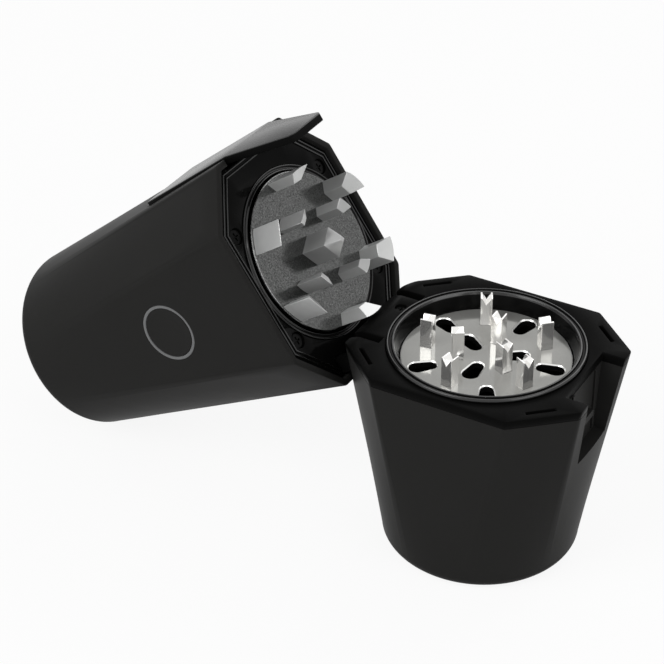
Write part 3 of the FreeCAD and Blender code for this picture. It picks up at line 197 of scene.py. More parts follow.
for name, lamp in LAMPS.items():
    light = bpy.data.lights.new(name, "AREA")
    light.size = lamp["size"]
    light.energy = lamp["power"]
    holder = bpy.data.objects.new(name, light)
    bpy.context.scene.collection.objects.link(holder)
    holder.location = lamp["place"]
    holder.rotation_euler = (AIM - holder.location).to_track_quat("-Z", "Y").to_euler()
print("lamps:", list(LAMPS))

# %% [markdown]
# ## Where the housing's own axes point
# The housing lies open, so its long axis slants down to the table. Patterns and pieces on it are easiest
# to think of in the housing's own frame, whose z starts at its rim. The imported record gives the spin
# axis, which is that z.

# %% Frame of the housing
joints = {joint["name"]: joint for joint in frame["joints"]}
SPIN_AXIS = Vector(joints["hub_spin"]["axis"]).normalized()
SPIN_PLACE = Vector(joints["hub_spin"]["pos_m"])
ACROSS = Vector((0, 1, 0))
LATCH_WAY = ACROSS.cross(SPIN_AXIS)
HOUSING = Matrix.Translation(SPIN_PLACE) @ Matrix((LATCH_WAY, ACROSS, SPIN_AXIS)).transposed().to_4x4()
print("housing rim centre:", [round(value, 4) for value in SPIN_PLACE])

# %% [markdown]
# ## Finishes
# The shells are moulded in black with a faint spark-eroded grain, so they show broad soft highlights. The
# rim, the lever and the face round the cutter are a deeper black, and the collar and the thin trim have a
# gloss. The plate, the pins and the teeth are bright metal, and the cutter's disc is darker with a fine
# grain.

# %% Parts of a finish
def new_finish(name, colour, roughness, metallic=0.0, **fixed):
    """A material with plain values on its shader; returns it, its shader and a wire to build from."""
    material = bpy.data.materials.new(name)
    material.use_nodes = True
    shader = material.node_tree.nodes["Principled BSDF"]
    shader.inputs["Base Color"].default_value = (*colour, 1)
    shader.inputs["Roughness"].default_value = roughness
    shader.inputs["Metallic"].default_value = metallic
    for socket, value in fixed.items():
        shader.inputs[socket.replace("_", " ")].default_value = value
    return material, shader, Wire(material.node_tree)


def place_of(wire):
    """The place on the piece, in metres."""
    return wire.node("ShaderNodeTexCoord", output="Object")


def height_of(wire):
    """The height above the table, in metres."""
    return wire.node("ShaderNodeSeparateXYZ", inputs={"Vector": place_of(wire)}, output="Z")


def along(wire, frame_matrix, row):
    """The place along one axis of a frame, in metres."""
    shifted = wire.node("ShaderNodeVectorMath", {"operation": "SUBTRACT"},
                        {0: place_of(wire), 1: frame_matrix.translation})
    axis = frame_matrix.col[row][:3]
    return wire.node("ShaderNodeVectorMath", {"operation": "DOT_PRODUCT"}, {0: shifted, 1: axis}, "Value")


def speckle(wire, size, detail):
    """Noise from 0 to 1 whose features are about size metres across."""
    return wire.node("ShaderNodeTexNoise", {"normalize": True},
                     {"Vector": place_of(wire), "Scale": 1 / size, "Detail": detail}, "Fac")


def raised(wire, shader, height, depth):
    """A bump on the surface, from a height of 0 to 1 and its depth in metres."""
    bump = wire.node("ShaderNodeBump", inputs={"Height": height, "Distance": depth, "Strength": 1.0})
    bump.into(shader, "Normal")


def blend_colour(wire, share, first, second):
    """A mix of two colours, of which the first may be a wire."""
    start = first if isinstance(first, Wire) else (*first, 1)
    return wire.node("ShaderNodeMix", {"data_type": "RGBA"}, {0: share, 6: start, 7: (*second, 1)}, 2)


# %% Kinds of finish
HANDLING_SIZE, CLOUD_SIZE = 18 * MM, 4 * MM
GRAIN_SIZE, PIT_SIZE = 0.4 * MM, 0.3 * MM
SOFT_DETAIL, GRAIN_DETAIL = 3.0, 1.0
# The contrast of the grain, the share of the rings in the colour, and that of the pits in the bump
GRAIN_GAIN, GRAIN_SHIFT = 1.8, 0.55
RING_SHARE, PIT_SHARE = 0.3, 0.4


def moulded(name, colour, worn, roughness, spread, grain, depth, polished=None, **fixed):
    """Moulded plastic: a fine grain, uneven gloss, a trace of handling and a polish where a mask says."""
    material, shader, wire = new_finish(name, colour, roughness, **fixed)
    handling = speckle(wire, HANDLING_SIZE, SOFT_DETAIL)
    blend_colour(wire, handling, colour, worn).into(shader, "Base Color")
    (roughness - spread / 2 + handling * spread).into(shader, "Roughness")
    raised(wire, shader, speckle(wire, grain, GRAIN_DETAIL), depth)
    if polished:
        polished(wire).into(shader, "Coat Weight")
    return material


def turned_metal(name, colour, shade, roughness, spread, frame_matrix, line, depth, metallic=1.0, painted_bands=()):
    """Metal turned on a lathe: fine rings round the z of a frame, and painted glint and shade under given
    heights.
    """
    material, shader, wire = new_finish(name, colour, roughness, metallic)
    first, second = (along(wire, frame_matrix, row) for row in (0, 1))
    radius = wire.math("SQRT", first * first + second * second)
    rings = wire.node("ShaderNodeTexNoise", {"noise_dimensions": "1D", "normalize": True},
                      {"W": radius, "Scale": 1 / line, "Detail": SOFT_DETAIL}, "Fac")
    grains = speckle(wire, GRAIN_SIZE, GRAIN_DETAIL) * GRAIN_GAIN - GRAIN_SHIFT
    look = blend_colour(wire, grains + rings * RING_SHARE, colour, shade)
    # Painted light: each band under a given height takes its own painted colour, the glint and then the
    # shade
    for level, painted_colour in painted_bands:
        look = blend_colour(wire, wire.math("LESS_THAN", height_of(wire), level), look, painted_colour)
    look.into(shader, "Base Color")
    (roughness - spread / 2 + rings * spread).into(shader, "Roughness")
    raised(wire, shader, rings + PIT_SHARE * speckle(wire, PIT_SIZE, GRAIN_DETAIL), depth)
    return material


def plain_metal(name, colour, shade, roughness, spread, grain, depth, metallic=1.0):
    """Machined metal with a fine even grain."""
    material, shader, wire = new_finish(name, colour, roughness, metallic)
    cloud = speckle(wire, CLOUD_SIZE, SOFT_DETAIL)
    blend_colour(wire, cloud, colour, shade).into(shader, "Base Color")
    (roughness - spread / 2 + cloud * spread).into(shader, "Roughness")
    raised(wire, shader, speckle(wire, grain, GRAIN_DETAIL), depth)
    return material


# %% Where the gloss lies
LEVER_CREST, LEVER_SKIN = 35.6 * MM, 0.25 * MM
# Slopes of the lever's outer face on both sides of its crest
LEVER_FALL_FRONT, LEVER_FALL_BACK = 0.1268, 0.0835
LEVER_POLISH = 0.7
COLLAR_CREST = 62.7 * MM


def lever_face(wire):
    """The polish of the lever's outer face, which falls away both ways from its crest; 0 on the edges."""
    height, length = along(wire, HOUSING, 0), along(wire, HOUSING, 2)
    face = LEVER_CREST + wire.math("MINIMUM", LEVER_FALL_FRONT * length, -LEVER_FALL_BACK * length)
    return LEVER_POLISH * wire.math("GREATER_THAN", height, face - LEVER_SKIN)


def collar_crest(wire):
    """1 on the collar's crest, which catches the light, and 0 on its dark wall."""
    return wire.math("GREATER_THAN", height_of(wire), COLLAR_CREST)


# %% Black plastics
SATIN = {"colour": (0.0168, 0.0166, 0.016), "worn": (0.0188, 0.0186, 0.018)}
GLOSS = {"colour": (0.0022, 0.0022, 0.0021), "worn": (0.0032, 0.0032, 0.0031)}
RUBBER = {"colour": (0.011, 0.011, 0.011), "worn": SATIN["worn"]}
PALE = {"colour": (0.1, 0.102, 0.104), "worn": (0.12, 0.122, 0.124)}

satin_shell = moulded("satin_shell", **SATIN, roughness=0.4, spread=0.06, grain=0.35 * MM, depth=0.006 * MM,
                      Specular_IOR_Level=0.024)
button_black = moulded("button_black", **SATIN, roughness=0.4, spread=0.06, grain=0.3 * MM,
                       depth=0.005 * MM, Specular_IOR_Level=0.03)
rim_black = moulded("rim_black", **GLOSS, roughness=0.36, spread=0.08, grain=0.5 * MM, depth=0.005 * MM,
                    Specular_IOR_Level=0.02)
face_gloss = moulded("face_gloss", **GLOSS, roughness=0.13, spread=0.05, grain=1.5 * MM, depth=0.003 * MM,
                     Specular_IOR_Level=0.03)
gloss_trim = moulded("gloss_trim", **GLOSS, roughness=0.16, spread=0.06, grain=1.2 * MM, depth=0.004 * MM,
                     Specular_IOR_Level=0.45)
gloss_collar = moulded("gloss_collar", **GLOSS, roughness=0.16, spread=0.06, grain=1.2 * MM,
                       depth=0.004 * MM, polished=collar_crest, Specular_IOR_Level=0.05,
                       Coat_Roughness=0.2)
lever_black = moulded("lever_black", **GLOSS, roughness=0.4, spread=0.06, grain=0.5 * MM, depth=0.004 * MM,
                      polished=lever_face, Specular_IOR_Level=0.03, Coat_Roughness=0.24)
screw_black = moulded("screw_black", **GLOSS, roughness=0.3, spread=0.1, grain=0.4 * MM, depth=0.004 * MM,
                      Specular_IOR_Level=0.06)
soft_rubber = moulded("soft_rubber", **RUBBER, roughness=0.75, spread=0.1, grain=0.6 * MM, depth=0.03 * MM,
                      Specular_IOR_Level=0.2)
ring_pale = moulded("ring_pale", **PALE, roughness=0.3, spread=0.06, grain=0.8 * MM, depth=0.004 * MM)
plastics = (satin_shell, button_black, rim_black, face_gloss, gloss_trim, gloss_collar, lever_black,
            screw_black, soft_rubber, ring_pale)
print("plastics:", [plastic.name for plastic in plastics])

# %% Metals
CUP_FRAME = Matrix.Identity(4)
PLATE_TOP, COUNTERSINK, CUT_START = 58.9 * MM, 0.32 * MM, 0.03 * MM
# The countersink band round each hole is painted near white as a painted glint
PAINTED_GLINT, PAINTED_HOLE_SHADE = (0.95, 0.95, 0.93), (0.01, 0.01, 0.01)
# Under the countersink the holes' walls are painted near black as painted shade
HOLE_GLINT_AND_SHADE = ((PLATE_TOP - CUT_START, PAINTED_GLINT), (PLATE_TOP - COUNTERSINK, PAINTED_HOLE_SHADE))

plate_metal = turned_metal("plate_metal", (0.34, 0.34, 0.325), (0.3, 0.3, 0.285), roughness=0.1,
                           spread=0.04, frame_matrix=CUP_FRAME, line=0.4 * MM, depth=0.0004 * MM,
                           metallic=0.5, painted_bands=HOLE_GLINT_AND_SHADE)
disc_metal = turned_metal("disc_metal", (0.17, 0.172, 0.17), (0.035, 0.036, 0.035), roughness=0.18,
                          spread=0.08, frame_matrix=HOUSING, line=0.3 * MM, depth=0.001 * MM)
pin_metal = plain_metal("pin_metal", (0.94, 0.93, 0.91), (0.86, 0.85, 0.83), roughness=0.1, spread=0.06,
                        grain=0.4 * MM, depth=0.001 * MM, metallic=0.82)
tooth_metal = plain_metal("tooth_metal", (0.66, 0.665, 0.66), (0.56, 0.565, 0.56), roughness=0.24,
                          spread=0.06, grain=0.4 * MM, depth=0.001 * MM, metallic=0.42)
post_metal = plain_metal("post_metal", (0.45, 0.453, 0.45), (0.36, 0.363, 0.36), roughness=0.2, spread=0.06,
                         grain=0.4 * MM, depth=0.001 * MM, metallic=0.4)
steel = plain_metal("steel", (0.62, 0.61, 0.6), (0.5, 0.49, 0.48), roughness=0.3, spread=0.1,
                    grain=0.5 * MM, depth=0.003 * MM)
bronze = plain_metal("bronze", (0.6, 0.38, 0.17), (0.5, 0.3, 0.12), roughness=0.34, spread=0.1,
                     grain=0.5 * MM, depth=0.004 * MM)
metals = (plate_metal, disc_metal, pin_metal, tooth_metal, post_metal, steel, bronze)
print("metals:", [metal.name for metal in metals])

# %% Hidden works
nylon = moulded("nylon", (0.72, 0.71, 0.66), (0.64, 0.63, 0.58), roughness=0.45, spread=0.1, grain=0.6 * MM,
                depth=0.01 * MM)
board_green = moulded("board_green", (0.015, 0.12, 0.045), (0.01, 0.09, 0.035), roughness=0.3, spread=0.08,
                      grain=0.9 * MM, depth=0.01 * MM)
cell_wrap = moulded("cell_wrap", (0.04, 0.1, 0.26), (0.035, 0.085, 0.22), roughness=0.28, spread=0.06,
                    grain=2 * MM, depth=0.01 * MM)
print("hidden works:", [finish.name for finish in (nylon, board_green, cell_wrap)])

# %% Give each CAD piece its finish
FINISHES = {
    satin_shell: ["cup_shell", "motor_housing", "cutter_well", "tact_switch"],
    rim_black: ["rim_cap", "hinge_arm"],
    gloss_collar: ["collar"],
    gloss_trim: ["guard_ring"],
    face_gloss: ["face_plate"],
    screw_black: ["hinge_screw", "face_screws", "arm_screws"],
    lever_black: ["latch_lever"],
    soft_rubber: ["foot_pad", "collar_seal"],
    button_black: ["button_cap"],
    ring_pale: ["light_ring"],
    plate_metal: ["grind_plate"],
    pin_metal: ["grind_pins"],
    disc_metal: ["cutter_disc"],
    tooth_metal: ["cutter_teeth"],
    steel: ["hinge_pin", "latch_pin", "board_screws", "planet_pins", "spindle", "motor_shaft",
            "spindle_spring", "motor_plate", "motor_can", "charging_socket"],
    nylon: ["planet_gear_1", "planet_gear_2", "planet_gear_3", "ring_gear", "gearbox_case", "output_hub",
            "battery_cradle", "switch_plunger"],
    bronze: ["output_bush", "sun_pinion"],
    board_green: ["control_board"],
    cell_wrap: ["battery_cell"],
}


def paint(piece, finish):
    """Give a piece one finish in place of any that it had."""
    piece.data.materials.clear()
    piece.data.materials.append(finish)


for finish, names in FINISHES.items():
    for name in names:
        paint(nodes[name], finish)
print("finishes given:", sum(len(names) for names in FINISHES.values()), "of", len(nodes))

# %% [markdown]
# ## Ways of working on a piece
# Every new piece is modelled as by hand: a primitive is added, parts of it are chosen by where they are,
# and edit mode's tools shape them. An operator works on whatever is selected, so `only` clears the
# selection first and `choose` picks faces, edges or corners with a plain test. A finished piece has its
# place in its mesh.

# %% Selecting and shaping
# Places closer together than this count as one
TOUCH = 0.001 * MM


def only(*pieces):
    """Leave edit mode and select just these pieces, the first of them active."""
    if bpy.context.mode != "OBJECT":
        bpy.ops.object.mode_set(mode="OBJECT")
    bpy.ops.object.select_all(action="DESELECT")
    for piece in pieces:
        piece.select_set(True)
    if pieces:
        bpy.context.view_layer.objects.active = pieces[0]


def shape(piece):
    """Go into edit mode on one piece with all of it selected."""
    only(piece)
    bpy.ops.object.mode_set(mode="EDIT")
    bpy.ops.mesh.select_all(action="SELECT")


def choose(kind, test):
    """Select the corners, edges or faces of the piece in edit mode that pass a test."""
    bpy.ops.mesh.select_mode(type=kind)
    bpy.ops.mesh.select_all(action="DESELECT")
    mesh = bpy.context.edit_object.data
    form = bmesh.from_edit_mesh(mesh)
    parts = {"VERT": form.verts, "EDGE": form.edges, "FACE": form.faces}[kind]
    chosen = [part for part in parts if test(part)]
    for part in chosen:
        part.select_set(True)
    form.select_flush_mode()
    bmesh.update_edit_mesh(mesh)
    return len(chosen)


def middle(part):
    """The middle of an edge or a face."""
    return sum((corner.co for corner in part.verts), Vector()) / len(part.verts)


def sharp(edge, degrees=30):
    """Whether the two faces at an edge turn by more than an angle."""
    return len(edge.link_faces) == 2 and edge.calc_face_angle(0) > math.radians(degrees)


def ease(width, steps=2):
    """Bevel the selected edges by a small width."""
    bpy.ops.mesh.bevel(offset=width, offset_type="OFFSET", segments=steps, profile=0.5, affect="EDGES",
                       clamp_overlap=False, loop_slide=False)


# %% Starting and ending a piece
SMOOTH_ANGLE = math.radians(32)


def done(piece, matrix=None):
    """Leave edit mode, put the piece's place into its mesh and shade it."""
    only(piece)
    bpy.ops.object.transform_apply(location=True, rotation=True, scale=True)
    if matrix:
        piece.data.transform(matrix)
    bpy.ops.object.shade_smooth_by_angle(angle=SMOOTH_ANGLE)
    return piece


def begin(name):
    """Name the primitive that was just added, put its place into its mesh and open it in edit mode."""
    piece = bpy.context.object
    piece.name = name
    shape(done(piece))
    return piece


def dress(piece, body, slot, finish, *replaced):
    """Give a piece its finish and the body that carries it, and hide the CAD pieces that it stands for; the
    slot is not used.
    """
    paint(piece, finish)
    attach(piece, body)
    if replaced:
        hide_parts(*replaced)


# %% [markdown]
# ## Moulded pieces with eased edges
# No moulded edge is a knife edge: each has a small round that catches a line of light, and these lines
# draw the shape of a black object. The CAD pieces have the right forms, so a copy of each has its
# corners merged by distance, and the edges that show get a narrow bevel. Edges inside the housing never
# show and stay as they are.

# %% Easing tool
IN_HOUSING = HOUSING.inverted()
RIM_BAND, RIM_LOW = 1.6 * MM, 57.0 * MM


def eased(node, width, body, slot, finish, shows=None, degrees=30):
    """A copy of a CAD piece whose sharp edges, or those that pass a test, are bevelled."""
    piece = bpy.data.objects.new(node + "_eased", nodes[node].data.copy())
    bpy.context.scene.collection.objects.link(piece)
    only(piece)
    bpy.ops.mesh.customdata_custom_splitnormals_clear()
    shape(piece)
    bpy.ops.mesh.remove_doubles(threshold=TOUCH)
    count = choose("EDGE", lambda edge: sharp(edge, degrees) and (shows is None or shows(middle(edge))))
    ease(width)
    dress(done(piece), body, slot, finish, node)
    print(node, "edges eased:", count, "faces:", len(piece.data.polygons))


def near_housing_rim(place):
    """Whether a place lies at the open end of the housing."""
    return (IN_HOUSING @ place).z < RIM_BAND


def on_rim_cap(place):
    """Whether a place lies on the upper part of the rim cap, which shows."""
    return place.z > RIM_LOW


# %% Housing, lever and rim
eased("motor_housing", 0.35 * MM, "lid", "shell_black", satin_shell, near_housing_rim)
eased("rim_cap", 0.3 * MM, "cup", "shell_black", rim_black, on_rim_cap)
eased("latch_lever", 0.3 * MM, "lever", "lever_black", lever_black)
eased("hinge_arm", 0.25 * MM, "lid", "shell_black", rim_black)
eased("face_plate", 0.15 * MM, "lid", "gloss_black", face_gloss)
eased("guard_ring", 0.1 * MM, "lid", "gloss_black", gloss_trim, degrees=20)
eased("collar", 0.14 * MM, "cup", "gloss_black", gloss_collar, degrees=20)
eased("light_ring", 0.1 * MM, "lid", "ring_pale", ring_pale)

# %% [markdown]
# ## Grinding plate
# The plate is a polished disc with two rings of long holes through which the herb falls. Each hole is
# fuller at its outer end and has a countersunk edge, which is painted near white as a painted glint, and
# the hole's wall under it is painted dark as painted shade. A hole's shape is the hull round two upright
# cones, so one plug is made that way, copied round the plate and taken out with a Boolean. A second,
# flared plug cuts the countersink.

# %% Plugs for the holes
PLUG_SIDES = 48
HOLE_NEAR_ROUND, HOLE_FAR_ROUND = 1.8 * MM, 2.3 * MM


def teardrop_plug(near, far, low, high, flare):
    """A plug along X between two heights: the hull round two upright cones that widen upwards by flare."""
    only()
    size = {"vertices": PLUG_SIDES, "depth": high - low}
    bpy.ops.mesh.primitive_cone_add(radius1=HOLE_NEAR_ROUND, radius2=HOLE_NEAR_ROUND + flare,
                                    location=(near, 0, (low + high) / 2), **size)
    plug = bpy.context.object
    shape(plug)
    bpy.ops.mesh.primitive_cone_add(radius1=HOLE_FAR_ROUND, radius2=HOLE_FAR_ROUND + flare,
                                    location=(far, 0, (low + high) / 2), **size)
    bpy.ops.mesh.select_all(action="SELECT")
    bpy.ops.mesh.convex_hull()
    return done(plug)


def take_out(piece, plugs):
    """Cut the plugs out of a piece, and remove them."""
    only(*plugs)
    if len(plugs) > 1:
        bpy.ops.object.join()
    tool = plugs[0]
    only(piece)
    cutting = piece.modifiers.new("cutting", "BOOLEAN")
    cutting.operation = "DIFFERENCE"
    cutting.object = tool
    bpy.ops.object.modifier_apply(modifier=cutting.name)
    bpy.data.objects.remove(tool, do_unlink=True)


# %% Copies round the middle
def copied(piece, name, matrix):
    """A copy with a mesh of its own, moved by a matrix."""
    twin = bpy.data.objects.new(name, piece.data.copy())
    bpy.context.scene.collection.objects.link(twin)
    twin.data.transform(matrix)
    return twin


def turns(row):
    """Turns about Z for a row of pieces, as matrices."""
    angles = [row["start"] + 360 * i / row["count"] for i in range(row["count"])]
    return [Matrix.Rotation(math.radians(angle), 4, "Z") for angle in angles]


# %% Plate with countersunk holes
PLATE_RADIUS, PLATE_THICK, PLATE_ROUND = 23.1 * MM, 2.0 * MM, 0.25 * MM
PLATE_SIDES = 160
HOLE_ROWS = {
    "outer": {"count": 5, "start": 9.0, "near": 15.7 * MM, "far": 19.4 * MM},
    "inner": {"count": 3, "start": 30.0, "near": 5.4 * MM, "far": 9.4 * MM},
}
THROUGH = {"low": PLATE_TOP - 2 * PLATE_THICK, "high": PLATE_TOP + PLATE_THICK, "flare": 0}
SUNK = {"low": PLATE_TOP - COUNTERSINK, "high": PLATE_TOP + COUNTERSINK, "flare": 2 * COUNTERSINK}

only()
bpy.ops.mesh.primitive_cylinder_add(vertices=PLATE_SIDES, radius=PLATE_RADIUS, depth=PLATE_THICK,
                                    location=(0, 0, PLATE_TOP - PLATE_THICK / 2))
plate = begin("polished_plate")
choose("EDGE", lambda edge: all(corner.co.z > PLATE_TOP - TOUCH for corner in edge.verts))
ease(PLATE_ROUND)
only(plate)
for cut in (THROUGH, SUNK):
    plugs = []
    for row in HOLE_ROWS.values():
        plug = teardrop_plug(row["near"], row["far"], **cut)
        plugs += [copied(plug, "plug", turn) for turn in turns(row)]
        bpy.data.objects.remove(plug, do_unlink=True)
    take_out(plate, plugs)
dress(done(plate), "cup", "polished_plate", plate_metal, "grind_plate")
print("plate faces:", len(plate.data.polygons))

# %% [markdown]
# ## Forked pins
# Eight square steel pins stand on the plate, each with a deep V across its top that leaves two prongs. A
# block is split along the V's three lines with Bisect, and the middle line is pushed down. A narrow bevel
# then gives every edge the bright line that ground steel has, and the foot flares where the pin is
# pressed into the plate. One pin is modelled and the rest are copies, turned round the plate.

# %% Pins
PIN_ROWS = {
    "outer": {"count": 5, "start": 45.0, "ring": 16.6 * MM},
    "inner": {"count": 3, "start": 92.0, "ring": 7.8 * MM},
}
PIN_WIDTH, PIN_HEIGHT = 3.3 * MM, 8.6 * MM
PIN_ROOT, PIN_EDGE = 0.3 * MM, 0.12 * MM
NOTCH_WIDTH, NOTCH_DEPTH = 2.4 * MM, 2.2 * MM
FOOT_FLARE, FOOT_RISE = 1.14, 0.3 * MM

only()
bpy.ops.mesh.primitive_cube_add(size=1, location=(0, 0, PLATE_TOP + (PIN_HEIGHT - PIN_ROOT) / 2),
                                scale=(PIN_WIDTH, PIN_WIDTH, PIN_HEIGHT + PIN_ROOT))
pin = begin("pin")
for line in (-NOTCH_WIDTH / 2, 0, NOTCH_WIDTH / 2):
    shape(pin)
    bpy.ops.mesh.bisect(plane_co=(0, line, 0), plane_no=(0, 1, 0))
choose("VERT", lambda corner: corner.co.z > PLATE_TOP + PIN_HEIGHT - TOUCH and abs(corner.co.y) < TOUCH)
bpy.ops.transform.translate(value=(0, 0, -NOTCH_DEPTH))
choose("EDGE", lambda edge: sharp(edge) and middle(edge).z > PLATE_TOP)
ease(PIN_EDGE)
bpy.ops.mesh.select_all(action="SELECT")
bpy.ops.mesh.bisect(plane_co=(0, 0, PLATE_TOP + FOOT_RISE), plane_no=(0, 0, 1))
choose("VERT", lambda corner: corner.co.z < PLATE_TOP)
bpy.ops.transform.resize(value=(FOOT_FLARE, FOOT_FLARE, 1), center_override=(0, 0, PLATE_TOP))
done(pin)
for row_name, row in PIN_ROWS.items():
    for i, turn in enumerate(turns(row)):
        piece = copied(pin, f"{row_name}_pin_{i + 1}", turn @ Matrix.Translation((row["ring"], 0, 0)))
        dress(piece, "cup", "polished_pins", pin_metal, "grind_pins")
bpy.data.objects.remove(pin, do_unlink=True)
print("pins:", sum(row["count"] for row in PIN_ROWS.values()))

# %% [markdown]
# ## Cutter
# The cutter's disc is a plain turned plate with a small chamfer round its front edge, so a cylinder with
# one bevel is enough. Its teeth stand in two rings round a pointed post. A tooth is a wedge: its back is
# round, its sides close in towards the middle of the disc, and its tip falls away that way too. A block
# gets that form when the corners of its inner side are drawn together and its inner tip is lowered. Its
# back is divided and bent to the ring.

# %% Disc
CUTTER_RADIUS, CUTTER_THICK, CUTTER_ROUND = 22.9 * MM, 2.2 * MM, 0.3 * MM
CUTTER_SIDES = 160

only()
bpy.ops.mesh.primitive_cylinder_add(vertices=CUTTER_SIDES, radius=CUTTER_RADIUS, depth=CUTTER_THICK,
                                    location=(0, 0, CUTTER_THICK / 2))
disc = begin("turned_disc")
choose("EDGE", lambda edge: all(corner.co.z < TOUCH for corner in edge.verts))
ease(CUTTER_ROUND)
dress(done(disc, HOUSING), "cutter", "cutter_metal", disc_metal, "cutter_disc")
print("disc faces:", len(disc.data.polygons))

# %% One tooth
TOOTH_ROOT, TOOTH_EDGE = 0.2 * MM, 0.13 * MM
BACK_STEPS = 8


def cutter_tooth(ring, deep, wide, narrow, tall, drop):
    """A tooth on the X side of the disc, pointing down Z."""
    only()
    bpy.ops.mesh.primitive_cube_add(size=1, location=(ring - deep / 2, 0, (TOOTH_ROOT - tall) / 2),
                                    scale=(deep, wide, tall + TOOTH_ROOT))
    tooth = begin("tooth")
    inside = ring - deep + TOUCH
    choose("VERT", lambda corner: corner.co.x < inside)
    bpy.ops.transform.resize(value=(1, narrow / wide, 1), center_override=(ring - deep, 0, 0))
    choose("VERT", lambda corner: corner.co.x < inside and corner.co.z < TOUCH - tall)
    bpy.ops.transform.translate(value=(0, 0, drop))
    choose("EDGE", lambda edge: all(corner.co.x > ring - TOUCH for corner in edge.verts)
           and abs(edge.verts[0].co.z - edge.verts[1].co.z) < TOUCH)
    bpy.ops.mesh.subdivide(number_cuts=BACK_STEPS - 1)
    for i in range(BACK_STEPS + 1):
        line = wide * (i / BACK_STEPS - 0.5)
        bend = math.sqrt(ring**2 - line**2) - ring
        for at_tip, slide in ((False, 0), (True, -bend * drop / deep)):
            choose("VERT", lambda corner: corner.co.x > ring - TOUCH and abs(corner.co.y - line) < TOUCH
                   and (corner.co.z < TOUCH - tall) == at_tip)
            bpy.ops.transform.translate(value=(bend, 0, slide))
    choose("EDGE", lambda edge: sharp(edge) and middle(edge).z < 0)
    ease(TOOTH_EDGE)
    return done(tooth)


# %% Two rings of teeth
TOOTH_ROWS = {
    "outer": {"count": 6, "start": 4.0, "finish": tooth_metal,
              "size": {"ring": 22.3 * MM, "deep": 3.3 * MM, "wide": 7.4 * MM, "narrow": 3.6 * MM,
                       "tall": 10.0 * MM, "drop": 3.2 * MM}},
    "inner": {"count": 4, "start": 60.5, "finish": post_metal,
              "size": {"ring": 13.3 * MM, "deep": 2.6 * MM, "wide": 4.7 * MM, "narrow": 2.6 * MM,
                       "tall": 9.4 * MM, "drop": 1.6 * MM}},
}

for row_name, row in TOOTH_ROWS.items():
    tooth = cutter_tooth(**row["size"])
    for i, turn in enumerate(turns(row)):
        piece = copied(tooth, f"{row_name}_tooth_{i + 1}", HOUSING @ turn)
        dress(piece, "cutter", "tooth_metal", row["finish"], "cutter_teeth")
    print(row_name, "teeth:", row["count"], "faces each:", len(tooth.data.polygons))
    bpy.data.objects.remove(tooth, do_unlink=True)

# %% Middle post
POST_SIDE, POST_TALL, POST_PEAK = 6.2 * MM, 8.3 * MM, 3.2 * MM
POST_POINT = 0.2
# A face looks along an axis when at least this share of its normal does
FACING = 0.99
POST_TURN = Matrix.Rotation(math.radians(60), 4, "Z")

only()
bpy.ops.mesh.primitive_cube_add(size=1, location=(0, 0, (TOOTH_ROOT - POST_TALL) / 2),
                                scale=(POST_SIDE, POST_SIDE, POST_TALL + TOOTH_ROOT))
post = begin("middle_post")
choose("FACE", lambda face: face.normal.z < -FACING)
bpy.ops.mesh.extrude_region_move(TRANSFORM_OT_translate={"value": (0, 0, -POST_PEAK)})
bpy.ops.transform.resize(value=(POST_POINT, POST_POINT, 1), center_override=(0, 0, -POST_TALL))
choose("EDGE", lambda edge: sharp(edge) and middle(edge).z < 0)
ease(TOOTH_EDGE)
dress(done(post, HOUSING @ POST_TURN), "cutter", "tooth_metal", post_metal, "cutter_teeth")
print("post faces:", len(post.data.polygons))

# %% [markdown]
# ## Spindle spring
# A coil spring behind the disc holds the cutter out, and it shortens as the lid closes on the pins. A
# small circle is the section of its wire. The Screw modifier winds that into a coil, and its two ends are
# closed. The coil is made in its place at rest and is not attached to a body.

# %% Coil
COIL_TURNS = 6
COIL_RADIUS, COIL_WIRE = 6.9 * MM, 0.38 * MM
COIL_FRONT, COIL_BACK = 2.25 * MM, 22.4 * MM
WIRE_SIDES, TURN_STEPS = 10, 40

only()
bpy.ops.mesh.primitive_circle_add(vertices=WIRE_SIDES, radius=COIL_WIRE, rotation=(math.pi / 2, 0, 0),
                                  location=(COIL_RADIUS, 0, COIL_FRONT + COIL_WIRE))
coil = done(bpy.context.object)
coil.name = "coil_spring"
winding = coil.modifiers.new("winding", "SCREW")
winding.iterations = COIL_TURNS
winding.screw_offset = (COIL_BACK - COIL_FRONT - 2 * COIL_WIRE) / COIL_TURNS
winding.steps = TURN_STEPS
winding.render_steps = TURN_STEPS
bpy.ops.object.modifier_apply(modifier=winding.name)
shape(coil)
bpy.ops.mesh.fill_holes(sides=0)
bpy.ops.mesh.normals_make_consistent(inside=False)
paint(done(coil, HOUSING), steel)
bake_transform(coil)
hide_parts("spindle_spring")
print("coil faces:", len(coil.data.polygons))

# %% [markdown]
# ## Button
# The thumb button sits inside the pale ring. Its face is slightly dished so that a thumb finds it: the
# front face of a cylinder is inset in steps, and each step is pushed in a little further.

# %% Dished button
BUTTON_UP, BUTTON_FACE = 35.9 * MM, 28.463 * MM
BUTTON_RADIUS, BUTTON_THICK, BUTTON_ROUND = 7.55 * MM, 3.0 * MM, 0.25 * MM
BUTTON_SIDES = 96
FLANGE_WIDTH, FLANGE_THICK = 0.75 * MM, 0.8 * MM
DISH_WIDTHS = (0.9 * MM, 1.4 * MM, 2.0 * MM, 2.0 * MM)
DISH_DEPTHS = (0.05 * MM, 0.1 * MM, 0.08 * MM, 0.03 * MM)

